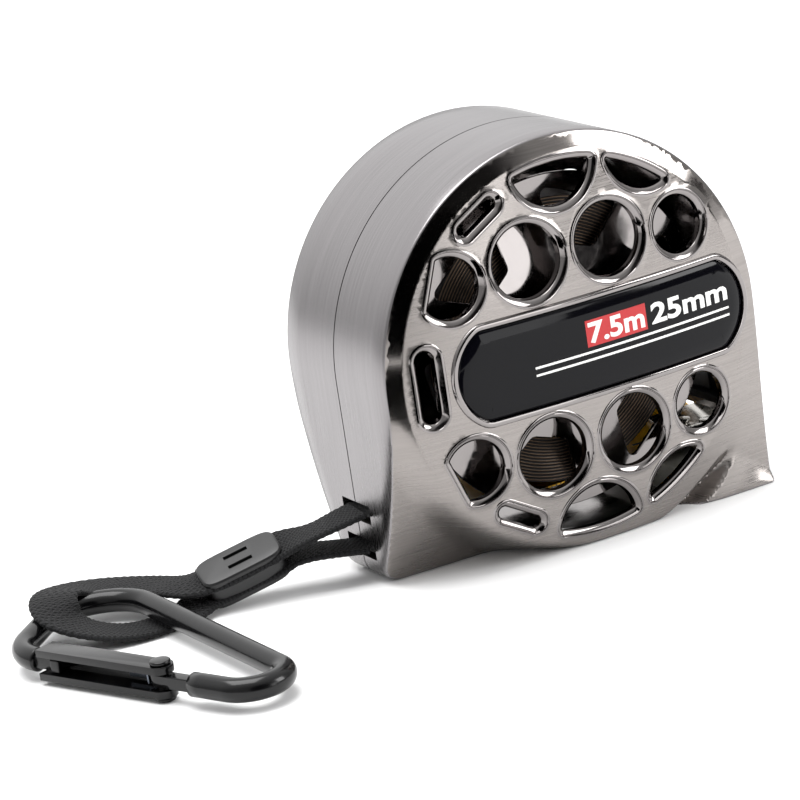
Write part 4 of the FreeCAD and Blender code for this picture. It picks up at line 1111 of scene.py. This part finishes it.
reelFacts = {"plateLow": 12.9, "plateHigh": 13.9, "dish": 2.3, "crown": 9, "rim": 27.6, "outer": 31.5,
             "bore": 3.06, "windows": 6, "firstWindow": 12, "ease": 0.15, "drum": 17, "drumWall": 1.4,
             "coil": 27, "half": 12.5, "turnPitch": 0.55, "springDepth": 5.6, "springHalf": 10,
             "windowCorners": ((19.6, -9), (27.4, -15), (27.4, 15), (19.6, 9)), "windowRounding": 1.3}


def dishHeight(radius):
    # flat middle, cone and flat rim, with the two bends rounded
    share = np.clip((reelFacts["rim"] - radius) / (reelFacts["rim"] - reelFacts["crown"]), 0, 1)
    return reelFacts["dish"] * (0.6 * share + 0.4 * smoothStep(share))


def plateWindow(middle):
    # a wedge with rounded corners, as an outline of four arcs
    corners = np.array([(r * math.cos(math.radians(middle + a)), r * math.sin(math.radians(middle + a)))
                        for r, a in reelFacts["windowCorners"]])
    following = np.roll(corners, -1, axis=0) - corners
    facing = np.degrees(np.arctan2(following[:, 1], following[:, 0])) - 90
    return Outline([(x, z, reelFacts["windowRounding"], facing[number - 1],
                     facing[number - 1] + (facing[number] - facing[number - 1]) % 360)
                    for number, (x, z) in enumerate(corners)], step=0.7)


def plateMesh(name, side, node):
    # the reel's dished plate with its windows, edges eased
    windows = [plateWindow(360 / reelFacts["windows"] * n + reelFacts["firstWindow"])
               for n in range(reelFacts["windows"])]
    outer = Outline([(0, 0, reelFacts["outer"], 0, 360)], step=1.2)
    holes = windows + [Outline([(0, 0, reelFacts["bore"], 0, 360)], step=0.7)]
    ease, low, high = reelFacts["ease"], reelFacts["plateLow"], reelFacts["plateHigh"]

    def level(flat, base):
        return np.column_stack([flat[:, 0], side * (base + dishHeight(np.hypot(flat[:, 0], flat[:, 1]))),
                                flat[:, 1] + reelAxis])

    sheet, triangles = fillSheet(outer.at(-ease), [w.at(ease) for w in holes], 1.5)
    parts = [(level(sheet, low), triangles), (level(sheet, high), triangles)]
    for outline, eased in [(outer, -ease)] + [(w, ease) for w in holes]:
        parts.append(strip([level(outline.at(eased), low), level(outline.at(0), low + ease),
                            level(outline.at(0), high - ease), level(outline.at(eased), high)]))
    makePiece(name, *joined(parts), [polished], body="reel", sharpAngle=35, node=node,
              slotName="reel_plating")


def woundProfile(inner, outer, half, pitch, groove):
    # an annulus whose flat sides are ridged by the turns' edges
    radii = np.arange(inner, outer + 0.01, pitch / 2)
    level = half - groove * (np.arange(len(radii)) % 2)
    return np.concatenate([np.column_stack([radii, level]), np.column_stack([radii, -level])[::-1]])


plateMesh("frontReelPlate", -1, "front_reel_plate")
plateMesh("rearReelPlate", 1, "rear_reel_plate")
drumOut, drumIn = reelFacts["drum"], reelFacts["drum"] - reelFacts["drumWall"]
drumHalf = reelFacts["plateLow"] + float(dishHeight(np.array(drumOut)))
drumProfile = roundedProfile([(drumIn, -drumHalf), (drumOut, -drumHalf), (drumOut, drumHalf),
                              (drumIn, drumHalf)], 0.1)
coilProfile = woundProfile(drumOut, reelFacts["coil"], reelFacts["half"], reelFacts["turnPitch"], 0.14)
springProfile = woundProfile(drumIn - reelFacts["springDepth"], drumIn, reelFacts["springHalf"], 0.5, 0.1)
for name, profile, count, material, sharpAngle, node, slotName in (
        ("reelDrum", drumProfile, 96, polished, 32, "reel_drum", "reel_plating"),
        ("woundCoil", coilProfile, 128, coil, 70, "blade_coil", "blade_paint"),
        ("powerSpring", springProfile, 96, springSteel, 70, "power_spring", "spring_steel")):
    makePiece(name, *turned(profile, (0, 0, reelAxis), (0, 1, 0), count, wrap=True), [material],
              body="reel", sharpAngle=sharpAngle, node=node, slotName=slotName)
print("reel ready")

# blade, hook and lock

bladeArc = (bladeFacts["half"] ** 2 + bladeFacts["sag"] ** 2) / (2 * bladeFacts["sag"])
bladeCentre = bladeFacts["edge"] - bladeFacts["sag"] + bladeArc  # height of the hollow's centre


def bladeStrip(facts, across=41, lengthways=49):
    # a strip bent to the blade's hollow section
    spread = np.arcsin(np.linspace(-facts["half"], facts["half"], across) / bladeArc)
    x = np.linspace(facts["back"], facts["front"], lengthways)
    below, above = [np.stack([np.repeat(x[:, None], across, 1),
                              np.repeat(radius * np.sin(spread)[None], lengthways, 0),
                              np.repeat((bladeCentre - radius * np.cos(spread))[None], lengthways, 0)],
                             axis=-1) for radius in (bladeArc, bladeArc - facts["thickness"])]
    return np.concatenate([below, above[:, ::-1]], axis=1).reshape(-1, 3), loftFaces(lengthways, 2 * across)


makePiece("bladeTongue", *bladeStrip(bladeFacts), [bladePaint], body="blade", node="blade_tongue",
          slotName="blade_paint")
numberFacts = {"first": 2, "last": 6, "height": 4.6, "weight": 0.05, "pitch": 10, "beside": 0.8,
               "lift": 0.012}


def bladeNumbers(facts):
    # a figure at each centimetre, beside its line, laid on the blade's hollow and read from behind;
    # the hook covers the first centimetre
    reach = bladeArc - bladeFacts["thickness"] - facts["lift"]
    for number in range(facts["first"], facts["last"] + 1):
        points, faces = letterShape(str(number), facts["height"], facts["weight"])
        x = (bladeFacts["hookFace"] - facts["pitch"] * number + facts["beside"]
             + points[:, 0].max() - points[:, 0])
        y = points[:, 1].max() / 2 - points[:, 1]
        yield np.column_stack([x, y, bladeCentre - np.sqrt(reach ** 2 - y * y) + points[:, 2]]), faces


makePiece("bladeNumbers", *joined(bladeNumbers(numberFacts)), [blackInk], body="blade",
          slotName="blade_paint")

lockFacts = {"back": 40.1, "front": 43.8, "half": 7, "low": 22, "high": 34, "ridge": 0.42, "pitch": 1.7,
             "edge": 1.1, "corner": 0.35, "stemLow": (37.3, -3, 24), "stemHigh": (40.4, 3, 32)}


def lockButton(facts):
    # a thumb pad on its stem: superellipse sections along z, whose front waves to make level ridges
    z = np.linspace(facts["low"], facts["high"], 97)
    end = np.minimum(z - facts["low"], facts["high"] - z)
    soft = facts["edge"] * (1 - np.sqrt(1 - (1 - np.clip(end / facts["edge"], 0, 1)) ** 2))
    wave = facts["ridge"] * (0.5 - 0.5 * np.cos(2 * np.pi * (z - facts["low"] - 1.2) / facts["pitch"]))
    front = facts["front"] - soft - wave * smoothStep((end - 1.0) / 0.8)
    half = facts["half"] - soft * 0.9
    u, v = superEllipse(64, facts["corner"])
    middle, reach = (front + facts["back"]) / 2, (front - facts["back"]) / 2
    points = np.stack([middle[:, None] + reach[:, None] * u, half[:, None] * v,
                       np.repeat(z[:, None], len(u), axis=1)], axis=-1)
    return joined([(points.reshape(-1, 3), loftFaces(len(z), len(u))),
                   roundedBlock(facts["stemLow"], facts["stemHigh"], 0.15)])


makePiece("lockButton", *lockButton(lockFacts), [lockPlastic], body="lock", node="lock_button",
          slotName="lock_plastic")
for facts in (
        ("endHook", "end_hook", hookNickel, "hook", 0.16, "hook_steel"),
        ("hookRivets", "hook_rivets", hookNickel, "blade", 0.18, "hook_steel"),
        ("mouthBumper", "mouth_bumper", softRubber, "case", 0.22, "bumper_rubber"),
        ("bladeGuide", "blade_guide", naturalPlastic, "case", 0.1, "post_plastic"),
        ("lockSlide", "lock_slide", lockPlastic, "lock", 0.15, "lock_plastic"),
        ("brakePad", "brake_pad", softRubber, "lock", 0.15, "pad_rubber"),
        ("spindlePost", "spindle_post", naturalPlastic, "case", 0.12, "post_plastic"),
        ("spindleScrew", "spindle_screw", zinc, "case", 0.2, "screw_steel"),
        ("caseScrews", "case_screws", zinc, "case", 0.12, "screw_steel"),
        ("gateSpring", "gate_spring", springSteel, "gate", 0.06, "spring_steel")):
    bevelledCopy(*facts)
print("blade, hook, lock and screws ready")
